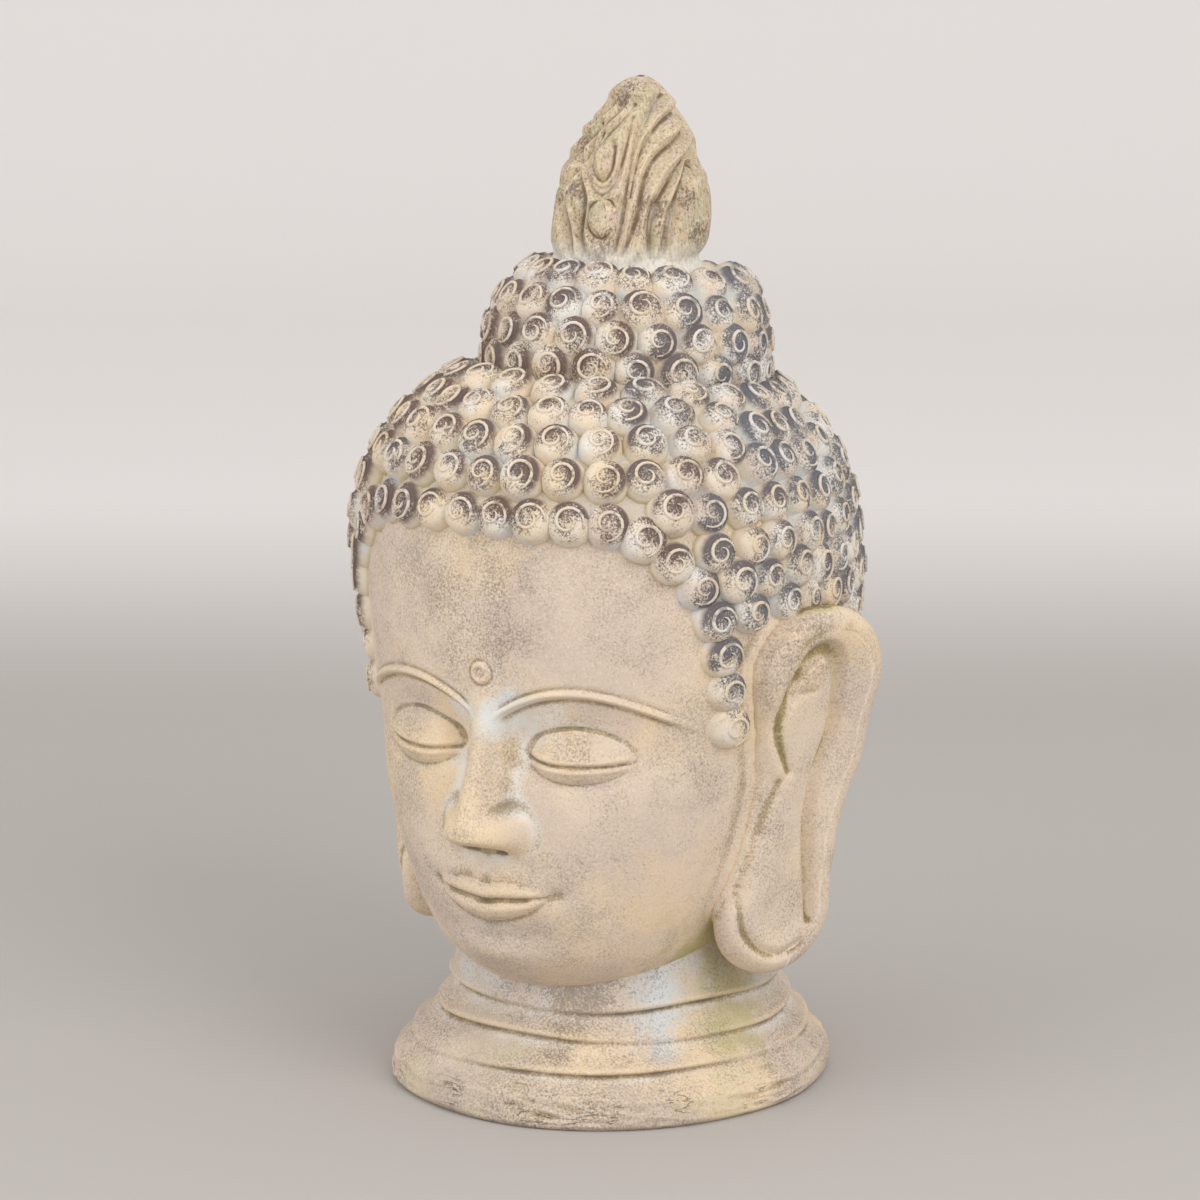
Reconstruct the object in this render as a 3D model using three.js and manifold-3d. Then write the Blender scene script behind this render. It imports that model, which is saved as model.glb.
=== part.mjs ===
// A cast head with snail-shell curls, a topknot, a flame finial and long ears, on a flared neck that is its stand.
// It is one casting, so it is one solid. Millimetres, +Z up, the face looks along -Y, and the origin is the
// middle of the underside. Every form is a field that is negative inside the material; rays find its surface.
import * as THREE from "three";
import { ConvexHull } from "three/addons/math/ConvexHull.js";
import { mergeVertices } from "three/addons/utils/BufferGeometryUtils.js";
import Module from "manifold-3d";

// Driving dimensions
const baseWidth = 262;
const baseDepth = 278;
const rimHeight = 14;
const neckHeight = 78;
const neckWidth = 190;
const neckDepth = 204;
const neckFoldDepth = 3;
const headHeight = 345;
const headWidth = 268;
const headDepth = 285;
const hairThickness = 5;
const curlPitch = 24;
const curlRise = 8.5;
const curlFlat = 6;
const knotRadius = 78;
const knotHeight = 62;
const flameHeight = 115;
const flameRadius = 45;
const earLength = 222;
const earThickness = 27;
const earFlareDegrees = 20;
const urnaRadius = 6.5;
const urnaRise = 2.4;

// Heights that follow from them
const chinZ = neckHeight;
const crownZ = chinZ + headHeight;
const knotTopZ = crownZ + knotHeight;
const flameTopZ = knotTopZ + flameHeight;

// Small helpers
const clamp = THREE.MathUtils.clamp;
const radians = THREE.MathUtils.degToRad;
const degrees = THREE.MathUtils.radToDeg;
const mix = THREE.MathUtils.lerp;
const gauss = (distance, width) => Math.exp(-((distance / width) ** 2));
const spot = (dx, dz, wide, high) => Math.exp(-((dx / wide) ** 2) - (dz / high) ** 2);

function ease(from, to, value) {
  const t = clamp((value - from) / (to - from), 0, 1);
  return t * t * (3 - 2 * t);
}

// Smooth union: the larger the radius, the softer the crease between the two forms.
function blend(a, b, radius) {
  const h = Math.max(radius - Math.abs(a - b), 0) / radius;
  return Math.min(a, b) - (h * h * radius) / 4;
}

// A smooth curve through [place, value] pairs that never overshoots them.
function profile(pairs) {
  const slopes = pairs.slice(1).map(([p, v], i) => (v - pairs[i][1]) / (p - pairs[i][0]));
  const tangents = pairs.map((_, i) => {
    const before = slopes[Math.max(i - 1, 0)];
    const after = slopes[Math.min(i, slopes.length - 1)];
    return before * after <= 0 ? 0 : (2 * before * after) / (before + after);
  });
  return (place) => {
    const at = clamp(place, pairs[0][0], pairs.at(-1)[0]);
    const i = Math.max(pairs.findIndex(([p]) => p > at) - 1, at >= pairs.at(-1)[0] ? pairs.length - 2 : 0);
    const [p0, v0] = pairs[i];
    const [p1, v1] = pairs[i + 1];
    const gap = p1 - p0;
    const t = (at - p0) / gap;
    return (
      v0 * (1 + 2 * t) * (1 - t) ** 2 +
      tangents[i] * gap * t * (1 - t) ** 2 +
      v1 * t * t * (3 - 2 * t) -
      tangents[i + 1] * gap * t * t * (1 - t)
    );
  };
}

// Distance to a chain of discs joined by straight flanks; each link is [u, v, radius].
function chainDistance(u, v, links) {
  let nearest = Infinity;
  for (let i = 1; i < links.length; i += 1) {
    const [u0, v0, r0] = links[i - 1];
    const [u1, v1, r1] = links[i];
    const along = ((u - u0) * (u1 - u0) + (v - v0) * (v1 - v0)) / ((u1 - u0) ** 2 + (v1 - v0) ** 2);
    const s = clamp(along, 0, 1);
    const reach = Math.hypot(u - mix(u0, u1, s), v - mix(v0, v1, s)) - mix(r0, r1, s);
    nearest = i === 1 ? reach : blend(nearest, reach, 8);
  }
  return nearest;
}

// A flat outline given thickness, with its edges rounded over.
function roundedSlab(outline, thickness, rounding) {
  const a = outline + rounding;
  const b = thickness + rounding;
  return Math.hypot(Math.max(a, 0), Math.max(b, 0)) + Math.min(Math.max(a, b), 0) - rounding;
}

// Neck and foot: an oval flare, cut by three folds above a thick rim, that closes again inside the head.
const neckSweep = 0.12;
const neckFolds = [0.37, 0.58, 0.79];
const neckFlare = profile([
  [0, 0],
  [rimHeight / neckHeight, 0.03],
  [0.3, 0.24],
  [0.45, 0.54],
  [0.6, 0.77],
  [0.8, 0.95],
  [1, 1],
  [1.3, 1.08],
  [1.75, 1.7],
]);

function neckField(x, y, z) {
  const share = z / neckHeight;
  const narrowed = neckFlare(share);
  const fold = neckFolds.reduce((sum, at) => sum + gauss(share - at, 0.04), 0) * neckFoldDepth;
  const halfWidth = mix(baseWidth, neckWidth, narrowed) / 2 - fold;
  const halfDepth = mix(baseDepth, neckDepth, narrowed) / 2 - fold;
  const round = Math.hypot(x / halfWidth, (y - neckSweep * z) / halfDepth);
  return (round - 1) * Math.min(halfWidth, halfDepth);
}

// Head: half width, forward reach and backward reach at each height, as shares of the largest.
const headShift = -12;
const frontReach = 0.46 * headDepth;
const backReach = headDepth - frontReach;
const squareness = 2.2;
const widthAt = profile([
  [-0.04, 0], [-0.03, 0.25], [0, 0.49], [0.07, 0.68], [0.18, 0.825], [0.3, 0.905], [0.42, 0.957],
  [0.54, 0.985], [0.66, 1], [0.78, 0.977], [0.86, 0.92], [0.93, 0.81], [0.98, 0.67], [1.02, 0.45], [1.045, 0],
]);
const frontAt = profile([
  [-0.04, 0], [-0.03, 0.45], [0, 0.66], [0.07, 0.82], [0.18, 0.88], [0.3, 0.915], [0.42, 0.94],
  [0.54, 0.975], [0.66, 1], [0.78, 0.98], [0.86, 0.92], [0.93, 0.81], [0.98, 0.67], [1.02, 0.45], [1.045, 0],
]);
const backAt = profile([
  [-0.04, 0], [-0.03, 0.35], [0, 0.54], [0.07, 0.615], [0.18, 0.72], [0.3, 0.83], [0.42, 0.915],
  [0.54, 0.973], [0.66, 1], [0.78, 0.98], [0.86, 0.92], [0.93, 0.8], [0.98, 0.66], [1.02, 0.44], [1.045, 0],
]);

function skullField(x, y, z) {
  const share = (z - chinZ) / headHeight;
  const halfWidth = Math.max((widthAt(share) * headWidth) / 2, 0.5);
  const reach = y < headShift ? frontAt(share) * frontReach : backAt(share) * backReach;
  const halfDepth = Math.max(reach, 0.5);
  const round =
    (Math.abs(x / halfWidth) ** squareness + Math.abs((y - headShift) / halfDepth) ** squareness) **
    (1 / squareness);
  return (round - 1) * Math.min(halfWidth, halfDepth);
}

// Face, by the classical rule of equal thirds and five eye widths.
const hairlineZ = chinZ + 0.765 * headHeight;
const third = (hairlineZ - chinZ) / 3;
const noseZ = chinZ + third;
const browZ = noseZ + third;
const eyeZ = browZ - 0.32 * third;
const mouthZ = noseZ - third / 3;
const eyeWidth = headWidth / 5;
const eyeX = eyeWidth;
const noseTipRise = 0.34 * third;

const browLine = (x) => browZ + 0.1 * third - ((Math.abs(x) - 1.05 * eyeX) / eyeX) ** 2 * 0.24 * third;
const slitLine = (x) => eyeZ - 0.07 * third + ((Math.abs(x) - eyeX) / eyeX) ** 2 * 0.1 * third;
const mouthLine = (x) => mouthZ + (x / eyeX) ** 2 * 0.07 * third;

// How far the face stands forward of the plain skull at a place seen from the front.
function faceRelief(x, z) {
  const side = Math.abs(x);
  const fromEye = side - eyeX;

  const sockets =
    -7 * spot(fromEye, z - eyeZ - 6, 0.6 * eyeWidth, 0.26 * third) -
    7 * spot(side - 0.42 * eyeX, z - eyeZ - 3, 0.22 * eyeWidth, 0.2 * third);
  const onBrow = ease(2.25 * eyeX, 1.7 * eyeX, side) * ease(0.1 * eyeX, 0.3 * eyeX, side);
  const brow = 2.6 * gauss(z - browLine(x), 3) * onBrow;
  const underBrow = -2.4 * ease(0, -5, z - browLine(x)) * ease(-0.6 * third, -0.2 * third, z - browLine(x)) * onBrow;

  const lid = 1 - (fromEye / (0.55 * eyeWidth)) ** 2 - ((z - eyeZ) / (0.2 * third)) ** 2;
  const slit = gauss(z - slitLine(x), 1.6) * ease(0.56 * eyeWidth, 0.4 * eyeWidth, Math.abs(fromEye));
  const eyes = 8 * Math.sqrt(Math.max(lid, 0)) - 2.4 * slit;

  const down = clamp((browZ - 0.08 * third - z) / (browZ - 0.08 * third - noseZ - 0.2 * third), 0, 1);
  const bridge = mix(6, noseTipRise, down ** 1.25);
  const noseWide = mix(8.5, 15, down ** 1.6);
  const noseSpan = ease(browZ + 0.2 * third, browZ - 0.2 * third, z) * ease(noseZ - 3, noseZ + 0.14 * third, z);
  const nose = bridge * Math.exp(-((side / noseWide) ** 2.6)) * noseSpan;
  const wings = 11 * spot(side - 0.34 * eyeWidth, z - noseZ - 0.13 * third, 0.17 * eyeWidth, 0.13 * third);

  const muzzle = 7 * spot(x, z - mouthZ, 0.75 * eyeWidth, 0.27 * third);
  const lips =
    4.5 * spot(side - 0.2 * eyeWidth, z - mouthZ - 0.075 * third, 0.28 * eyeWidth, 0.065 * third) +
    6 * spot(x, z - mouthZ + 0.1 * third, 0.42 * eyeWidth, 0.08 * third);
  const parting = -3 * gauss(z - mouthLine(x), 1.8) * ease(0.8 * eyeWidth, 0.62 * eyeWidth, side);
  const corners = -4 * spot(side - 0.74 * eyeWidth, z - mouthLine(x), 0.12 * eyeWidth, 0.08 * third);
  const chin =
    6 * spot(x, z - chinZ - 0.26 * third, 0.5 * eyeWidth, 0.2 * third) -
    4 * spot(x, z - mouthZ + 0.25 * third, 0.4 * eyeWidth, 0.08 * third);
  const cheeks = 3.5 * spot(side - 1.25 * eyeX, z - noseZ - 0.15 * third, 0.7 * eyeWidth, 0.4 * third);

  const urna = urnaRise * ease(urnaRadius, 0.8 * urnaRadius, Math.hypot(x, z - browZ - 0.2 * third));
  return (
    sockets + brow + underBrow + eyes + nose + wings + muzzle + lips + parting + corners + chin + cheeks + urna
  );
}

// Hairline: level over the forehead, down the temple to a lock before the ear, then low round the nape.
const hairlineAt = profile([
  [0, hairlineZ],
  [40, hairlineZ],
  [51, hairlineZ - 0.04 * headHeight],
  [57, hairlineZ - 0.1 * headHeight],
  [61, hairlineZ - 0.22 * headHeight],
  [64, hairlineZ - 0.36 * headHeight],
  [90, hairlineZ - 0.38 * headHeight],
  [112, hairlineZ - 0.62 * headHeight],
  [180, hairlineZ - 0.66 * headHeight],
]);
const turnOf = (x, y) => degrees(Math.atan2(Math.abs(x), headShift - y));

function headField(x, y, z) {
  const facing = ease(0, 40, headShift - y);
  const hair = ease(-1, 3, z - hairlineAt(turnOf(x, y)));
  return skullField(x, y + faceRelief(x, z) * facing * (1 - hair), z) - hairThickness * hair;
}

// Topknot and finial share an axis that leans back.
const knotShift = 16.5;
const knotLean = 0.11;
const knotAxisY = (z) => knotShift + knotLean * (z - crownZ);

function knotField(x, y, z) {
  const middle = crownZ + 0.1 * knotHeight;
  const halfHeight = 1.02 * knotHeight;
  const round = Math.hypot(x, y - knotAxisY(z)) / knotRadius;
  const power = 2.9;
  const size = (round ** power + Math.abs((z - middle) / halfHeight) ** power) ** (1 / power);
  return (size - 1) * halfHeight;
}

// Flame: a bud wrapped in three tiers of tongues that all sweep round as they rise.
const flameTongues = 7;
const flameSweepDegrees = 62;
const flameDepth = 8;
const budAt = profile([
  [-0.1, 1.02], [0.05, 1.01], [0.3, 1], [0.45, 0.96], [0.62, 0.8], [0.75, 0.66], [0.86, 0.45], [0.95, 0.24], [1, 0.06],
]);
const flameTiers = [
  { from: -0.5, reach: 0.47, stand: 9, offset: 0 },
  { from: 0.28, reach: 0.73, stand: 8, offset: 0.5 },
  { from: 0.56, reach: 0.93, stand: 7, offset: 0 },
];
const flameTurn = (share) => radians(flameSweepDegrees) * Math.max(share, 0) ** 1.4;

function flameField(x, y, z) {
  const share = (z - knotTopZ) / flameHeight;
  const turn = Math.atan2(x, knotAxisY(z) - y);
  const distance = Math.hypot(x, y - knotAxisY(z));
  const spacing = (2 * Math.PI) / flameTongues;
  const core = Math.max(flameRadius * budAt(share) - flameDepth, 0.5);
  let reach = 0;
  for (const tier of flameTiers) {
    const climbed = clamp(share / tier.reach, 0, 1);
    const off = (turn - flameTurn(share)) / spacing - tier.offset;
    const across = Math.abs(off - Math.round(off)) / (0.46 * Math.sqrt(1.001 - climbed ** 5));
    const grown = ease(tier.from, tier.from + 0.2, share) * ease(tier.reach + 0.01, tier.reach - 0.02, share);
    reach = Math.max(reach, tier.stand * grown * Math.max(1 - across ** 2, 0) ** 0.5);
  }
  return distance - core - reach * Math.min(1, core / 16);
}

// Ear, in its own frame: u runs back along it, v up from the lobe and w outwards. Links are shares of the length.
const earOutline = [
  [0.062, 0.176, 0.178], [0.084, 0.315, 0.146], [0.09, 0.464, 0.135], [0.133, 0.631, 0.173], [0.158, 0.802, 0.197],
];
const earTongue = [
  [0.054, 0.18, 0.095], [0.045, 0.252, 0.092], [0.05, 0.36, 0.07], [0.063, 0.554, 0.047], [0.081, 0.676, 0.083],
  [0.108, 0.775, 0.086],
];
const earRounding = 0.42 * earThickness;
const earWebInset = 0.6 * earThickness;
const earWebDepth = 2.6 * earThickness;
const earFlare = radians(earFlareDegrees);
const earFootZ = chinZ + 0.009 * headHeight;
const earLean = 0.126;
const earRootX = 0.4225 * headWidth;
const earRootY = profile([
  [0, -25],
  [0.45, -25],
  [0.82, -42],
  [1, -46],
]);

const scaledLinks = (links) => links.map((link) => link.map((share) => share * earLength));
const outlineLinks = scaledLinks(earOutline);
const tongueLinks = scaledLinks(earTongue);

function earField(u, v, w) {
  const outline = chainDistance(u, v, outlineLinks);
  const tongue = chainDistance(u, v, tongueLinks);
  const deep = mix(0.2, 0.34, ease(0.72, 0.84, v / earLength)) * earThickness;
  const behind = 0.3 + 0.7 * ease(0.05, 0.11, u / earLength);
  const sink = deep * ease(2, -4, tongue) - 2.5 * ease(-4, -15, tongue) + 4.5 * gauss(tongue + 2, 3) * behind;
  const sunk = w > 0 ? w + sink : w;
  const slab = roundedSlab(outline, Math.abs(sunk) - earThickness / 2, earRounding);
  const web = roundedSlab(outline + earWebInset, Math.abs(w + earWebDepth / 2) - earWebDepth / 2, 3);
  return blend(slab, web, 6);
}

// The first place along a ray where a field turns from inside to outside.
function surfacePoint(field, from, direction, reach) {
  let inside = 0;
  let outside = reach;
  for (let step = 0; step < 26; step += 1) {
    const middle = (inside + outside) / 2;
    const p = from.clone().addScaledVector(direction, middle);
    if (field(p.x, p.y, p.z) < 0) inside = middle;
    else outside = middle;
  }
  return from.clone().addScaledVector(direction, (inside + outside) / 2);
}

// A closed skin from rays cast round an axis, one ring for each height, with a point at each end. Crowding moves
// the rays towards the side opposite to the ring's out direction.
function wrapAxis(field, rings, sides, reach, crowding = 0) {
  const positions = [];
  const faces = [];
  for (const ring of rings) {
    for (let i = 0; i < sides; i += 1) {
      const even = (2 * Math.PI * i) / sides;
      const turn = even - crowding * Math.cos(even);
      const direction = ring.across.clone().multiplyScalar(Math.cos(turn)).addScaledVector(ring.out, Math.sin(turn));
      positions.push(...surfacePoint(field, ring.middle, direction, reach));
    }
  }
  const foot = rings.length * sides;
  positions.push(...rings[0].middle, ...rings.at(-1).middle);
  for (let i = 0; i < sides; i += 1) {
    const next = (i + 1) % sides;
    const top = (rings.length - 1) * sides;
    faces.push(foot, next, i, foot + 1, top + i, top + next);
    for (let r = 0; r < rings.length - 1; r += 1) {
      const a = r * sides + i;
      const b = r * sides + next;
      faces.push(a, b, a + sides, b, b + sides, a + sides);
    }
  }
  const geometry = new THREE.BufferGeometry();
  geometry.setAttribute("position", new THREE.Float32BufferAttribute(positions, 3));
  geometry.setIndex(faces);
  return geometry;
}

const heightsBetween = (low, high, count) => Array.from({ length: count }, (_, i) => mix(low, high, i / (count - 1)));
const uprightRing = (y, z, turn = 0) => ({
  middle: new THREE.Vector3(0, y, z),
  across: new THREE.Vector3(Math.cos(turn), Math.sin(turn), 0),
  out: new THREE.Vector3(-Math.sin(turn), Math.cos(turn), 0),
});

function neckGeometry() {
  const lip = 0.05;
  const folds = neckFolds.flatMap((at) => [at - lip, at, at + lip]);
  const shares = [0, rimHeight / neckHeight, 0.25, ...folds, 1, 1.3, 1.5];
  const rings = shares.map((share) => uprightRing(neckSweep * share * neckHeight, share * neckHeight));
  return wrapAxis(neckField, rings, 28, baseDepth);
}

function flameGeometry() {
  const tips = flameTiers.flatMap(({ reach }) => [reach - 0.03, reach + 0.01]);
  const shares = [-0.12, 0.05, 0.2, 0.34, 0.57, 0.65, 0.8, 0.86, ...tips, 0.985].sort((a, b) => a - b);
  const rings = shares.map((share) => {
    const z = knotTopZ + share * flameHeight;
    return uprightRing(knotAxisY(z), z, flameTurn(share) - Math.PI / 2);
  });
  return wrapAxis(flameField, rings, 4 * flameTongues, 2 * flameRadius);
}

// The ear's rings lie across its length, and its own frame is turned into place on the head.
function earGeometry(side) {
  const middleAt = profile(outlineLinks.map(([u, v]) => [v, u]));
  const shares = [0.008, 0.045, 0.11, 0.18, 0.27, 0.37, 0.47, 0.57, 0.67, 0.76, 0.84, 0.91, 0.965, 0.994];
  const rings = shares.map((share) => ({
    middle: new THREE.Vector3(middleAt(share * earLength), share * earLength, -1),
    across: new THREE.Vector3(1, 0, 0),
    out: new THREE.Vector3(0, 0, -1),
  }));
  const geometry = wrapAxis(earField, rings, 22, 2 * earLength, 0.55);
  const positions = geometry.getAttribute("position");
  for (let i = 0; i < positions.count; i += 1) {
    const [u, v, w] = [positions.getX(i), positions.getY(i), positions.getZ(i)];
    const x = earRootX + earLean * v + u * Math.sin(earFlare) + w * Math.cos(earFlare);
    const y = earRootY(v / earLength) + u * Math.cos(earFlare) - w * Math.sin(earFlare);
    positions.setXYZ(i, side * x, y, earFootZ + v);
  }
  if (side < 0) geometry.index.array.reverse();
  return geometry;
}

// Seats for the curls
const headCentre = new THREE.Vector3(0, headShift, chinZ + 0.56 * headHeight);
const hairFieldOnly = (x, y, z) => skullField(x, y, z) - hairThickness;
const headReach = headHeight + headDepth;

function headDirection(turn, rise) {
  return new THREE.Vector3(
    Math.sin(turn) * Math.cos(rise),
    -Math.cos(turn) * Math.cos(rise),
    Math.sin(rise),
  );
}

const seatOn = (direction) => surfacePoint(hairFieldOnly, headCentre, direction, headReach);

// A point on the hair at a turn from the front and a height.
function seatAtHeight(turnDegrees, z) {
  let low = -1.3;
  let high = 1.3;
  for (let step = 0; step < 22; step += 1) {
    const rise = (low + high) / 2;
    if (seatOn(headDirection(radians(turnDegrees), rise)).z < z) low = rise;
    else high = rise;
  }
  return seatOn(headDirection(radians(turnDegrees), low));
}

// Steps of equal length along a path of points; the first half step puts a gap at the path's start.
function evenSteps(path, pitch, firstStep) {
  const steps = [];
  let wait = firstStep;
  for (let i = 1; i < path.length; i += 1) {
    const length = path[i].distanceTo(path[i - 1]);
    while (wait <= length) {
      steps.push(path[i - 1].clone().lerp(path[i], wait / length));
      wait += pitch;
    }
    wait -= length;
  }
  return steps;
}

const mirrored = (points) => points.flatMap((p) => [p, new THREE.Vector3(-p.x, p.y, p.z)]);
const rowPitch = 0.79 * curlPitch;

const overEdge = 0.47 * curlPitch;
const lockEnd = 63.5;
const napeEnd = 96;
const edgePath = (turns, lift) => turns.map((turn) => seatAtHeight(turn, hairlineAt(turn) + lift));

function capCurls() {
  const hairlineEdge = edgePath(heightsBetween(0, lockEnd, 60), overEdge);
  const napeEdge = edgePath(heightsBetween(180, napeEnd, 30), overEdge);
  const fixed = mirrored([
    ...evenSteps(hairlineEdge, 0.94 * curlPitch, 0.47 * curlPitch),
    ...evenSteps(napeEdge, curlPitch, 0.5 * curlPitch),
  ]);
  const topRise = radians(60.5);
  const rise = Math.atan2(hairlineZ + overEdge - headCentre.z, 0.96 * frontReach);
  const upperStep = (topRise - rise) / 4;
  const lowerStep = radians(7.4);
  const loose = [];
  for (let row = 4; row > -12; row -= 1) {
    const level = rise + row * (row > 0 ? upperStep : lowerStep);
    const aroundRadius = seatOn(headDirection(Math.PI / 2, level)).x;
    const count = 2 * Math.round((Math.PI * aroundRadius) / curlPitch);
    for (let i = 0; i < count; i += 1) {
      const turn = (2 * Math.PI * (i + (row % 2 === 0 ? 0.5 : 0))) / count;
      const seat = seatOn(headDirection(turn, level));
      const inHair = seat.z > hairlineAt(turnOf(seat.x, seat.y)) + overEdge;
      if (inHair && fixed.every((other) => other.distanceTo(seat) > 0.74 * curlPitch)) {
        (row === 4 ? fixed : loose).push(seat);
      }
    }
  }
  return spreadEvenly(fixed, loose);
}

// Nudges the loose seats apart until none crowds its neighbours. The fixed ones stay.
function spreadEvenly(fixed, loose) {
  const wanted = 0.93 * curlPitch;
  const seats = [...fixed, ...loose];
  for (let pass = 0; pass < 24; pass += 1) {
    const pushes = loose.map((seat) => {
      const push = new THREE.Vector3();
      for (const other of seats) {
        const gap = seat.distanceTo(other);
        if (other !== seat && gap < wanted) push.add(seat.clone().sub(other).multiplyScalar((wanted - gap) / gap));
      }
      return push.multiplyScalar(0.3);
    });
    loose.forEach((seat, i) => {
      seat.copy(seatOn(seat.clone().add(pushes[i]).sub(headCentre).normalize()));
    });
  }
  return seats;
}

// The casting's skin over the cap and face: every place is a direction from the head's middle, the directions are
// joined by the convex hull of the unit sphere, and each is then carried out to its own distance.
function skinOver(centre, places) {
  const directions = places.map((place) => place.clone().sub(centre).normalize());
  const numbers = new Map(directions.map((direction, i) => [direction, i]));
  const faces = [];
  for (const face of new ConvexHull().setFromPoints(directions).faces) {
    const { edge } = face;
    faces.push(numbers.get(edge.head().point), numbers.get(edge.next.head().point));
    faces.push(numbers.get(edge.next.next.head().point));
  }
  const geometry = new THREE.BufferGeometry();
  geometry.setAttribute("position", new THREE.Float32BufferAttribute(places.flatMap((p) => [...p]), 3));
  geometry.setIndex(faces);
  return geometry;
}

// The low places round the curls: the middle of every triangle and of every side between near neighbours.
function lowPlaces(centre, seats, field) {
  const { index } = skinOver(centre, seats);
  const found = [];
  const lower = (corners) => {
    const middle = corners.reduce((sum, corner) => sum.add(corner), new THREE.Vector3()).divideScalar(corners.length);
    found.push(surfacePoint(field, centre, middle.sub(centre).normalize(), headReach));
  };
  for (let i = 0; i < index.count; i += 3) {
    const [a, b, c] = [0, 1, 2].map((k) => seats[index.getX(i + k)]);
    const sides = [[a, b], [b, c], [c, a]].filter(([p, q]) => p.distanceTo(q) < 1.45 * curlPitch);
    if (sides.length === 3) lower([a, b, c]);
    sides.forEach(lower);
  }
  return keepApart(found, 0.2 * curlPitch);
}

// The blunt top of a curl: three corners lifted off the hair round its seat, or a single one at the back.
const plainFrom = 112;
function curlTop(centre, seat) {
  const out = seat.clone().sub(centre).normalize();
  if (turnOf(seat.x, seat.y) > plainFrom) return [seat.clone().addScaledVector(out, curlRise)];
  const east = new THREE.Vector3(0, 0, 1).cross(out).normalize();
  const north = out.clone().cross(east);
  return [90, 210, 330].map((turn) =>
    seat
      .clone()
      .addScaledVector(east, curlFlat * Math.cos(radians(turn)))
      .addScaledVector(north, curlFlat * Math.sin(radians(turn)))
      .addScaledVector(out, curlRise),
  );
}

// Keeps each place only where no earlier one is closer than the gap.
function keepApart(places, gap) {
  const kept = [];
  for (const place of places) {
    if (kept.every((other) => other.distanceTo(place) >= gap)) kept.push(place);
  }
  return kept;
}

// Places on the face, along its drawn lines first and then on a grid.
function facePlaces() {
  const onFace = (x, z) => {
    const from = new THREE.Vector3(x * 0.35, headShift, mix(headCentre.z, z, 0.55));
    const direction = new THREE.Vector3(x, headShift - frontReach, z).sub(from);
    return surfacePoint(headField, from, direction.normalize(), headReach);
  };
  const places = [];
  const line = (curve, low, high, count, lift = 0) => {
    for (const x of heightsBetween(low, high, count)) {
      places.push(onFace(x, curve(x) + lift), onFace(-x, curve(x) + lift));
    }
  };
  line(slitLine, 0.45 * eyeX, 1.52 * eyeX, 9);
  line(slitLine, 0.5 * eyeX, 1.5 * eyeX, 7, 5);
  line(slitLine, 0.5 * eyeX, 1.5 * eyeX, 7, -5);
  line(browLine, 0.25 * eyeX, 2 * eyeX, 12);
  line(browLine, 0.25 * eyeX, 2 * eyeX, 12, -6);
  [0, 6, -7, 12, -15].forEach((lift) => line(mouthLine, 0, 0.72 * eyeX, 6, lift));
  line(() => noseZ, 0, 0.5 * eyeX, 5);
  for (const z of heightsBetween(noseZ + 6, browZ, 9)) {
    places.push(...[0, 8, -8, 16, -16, 24, -24].map((x) => onFace(x, z)));
  }
  for (let z = chinZ + 4; z < browZ + 20; z += 12) {
    for (let x = 0; x < 1.8 * eyeX; x += 12) places.push(onFace(x, z), onFace(-x, z));
  }
  return keepApart(places, 5.2);
}

function headGeometry() {
  const seats = capCurls();
  const hairEnds = [...edgePath(heightsBetween(0, lockEnd, 60), 0), ...edgePath(heightsBetween(napeEnd, 180, 30), 0)];
  const edge = mirrored(evenSteps(hairEnds, 0.5 * curlPitch, 0)).map((place) =>
    surfacePoint(headField, headCentre, place.clone().sub(headCentre).normalize(), headReach),
  );
  const lows = lowPlaces(headCentre, seats, hairFieldOnly).filter(
    (p) => p.z > hairlineAt(turnOf(p.x, p.y)) + 0.2 * curlPitch,
  );
  const skin = [];
  for (const rise of heightsBetween(-1.3, 1.3, 20)) {
    const count = Math.max(6, Math.round(46 * Math.cos(rise)));
    for (let i = 0; i < count; i += 1) {
      skin.push(surfacePoint(headField, headCentre, headDirection((2 * Math.PI * (i + 0.5)) / count, rise), headReach));
    }
  }
  const bare = (p) =>
    p.z < hairlineAt(turnOf(p.x, p.y)) - 4 && [...seats, ...edge].every((other) => other.distanceTo(p) > 8);
  const features = facePlaces().filter(bare);
  const clear = (p) => [...features, ...seats].every((other) => other.distanceTo(p) > 0.62 * curlPitch);
  const rest = skin.filter((p) => bare(p) && clear(p));
  const ends = [new THREE.Vector3(0, headShift, crownZ), new THREE.Vector3(0, headShift, chinZ)];
  const tops = seats.flatMap((seat) => curlTop(headCentre, seat));
  return skinOver(headCentre, [...tops, ...lows, ...edge, ...features, ...rest, ...ends]);
}

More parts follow.
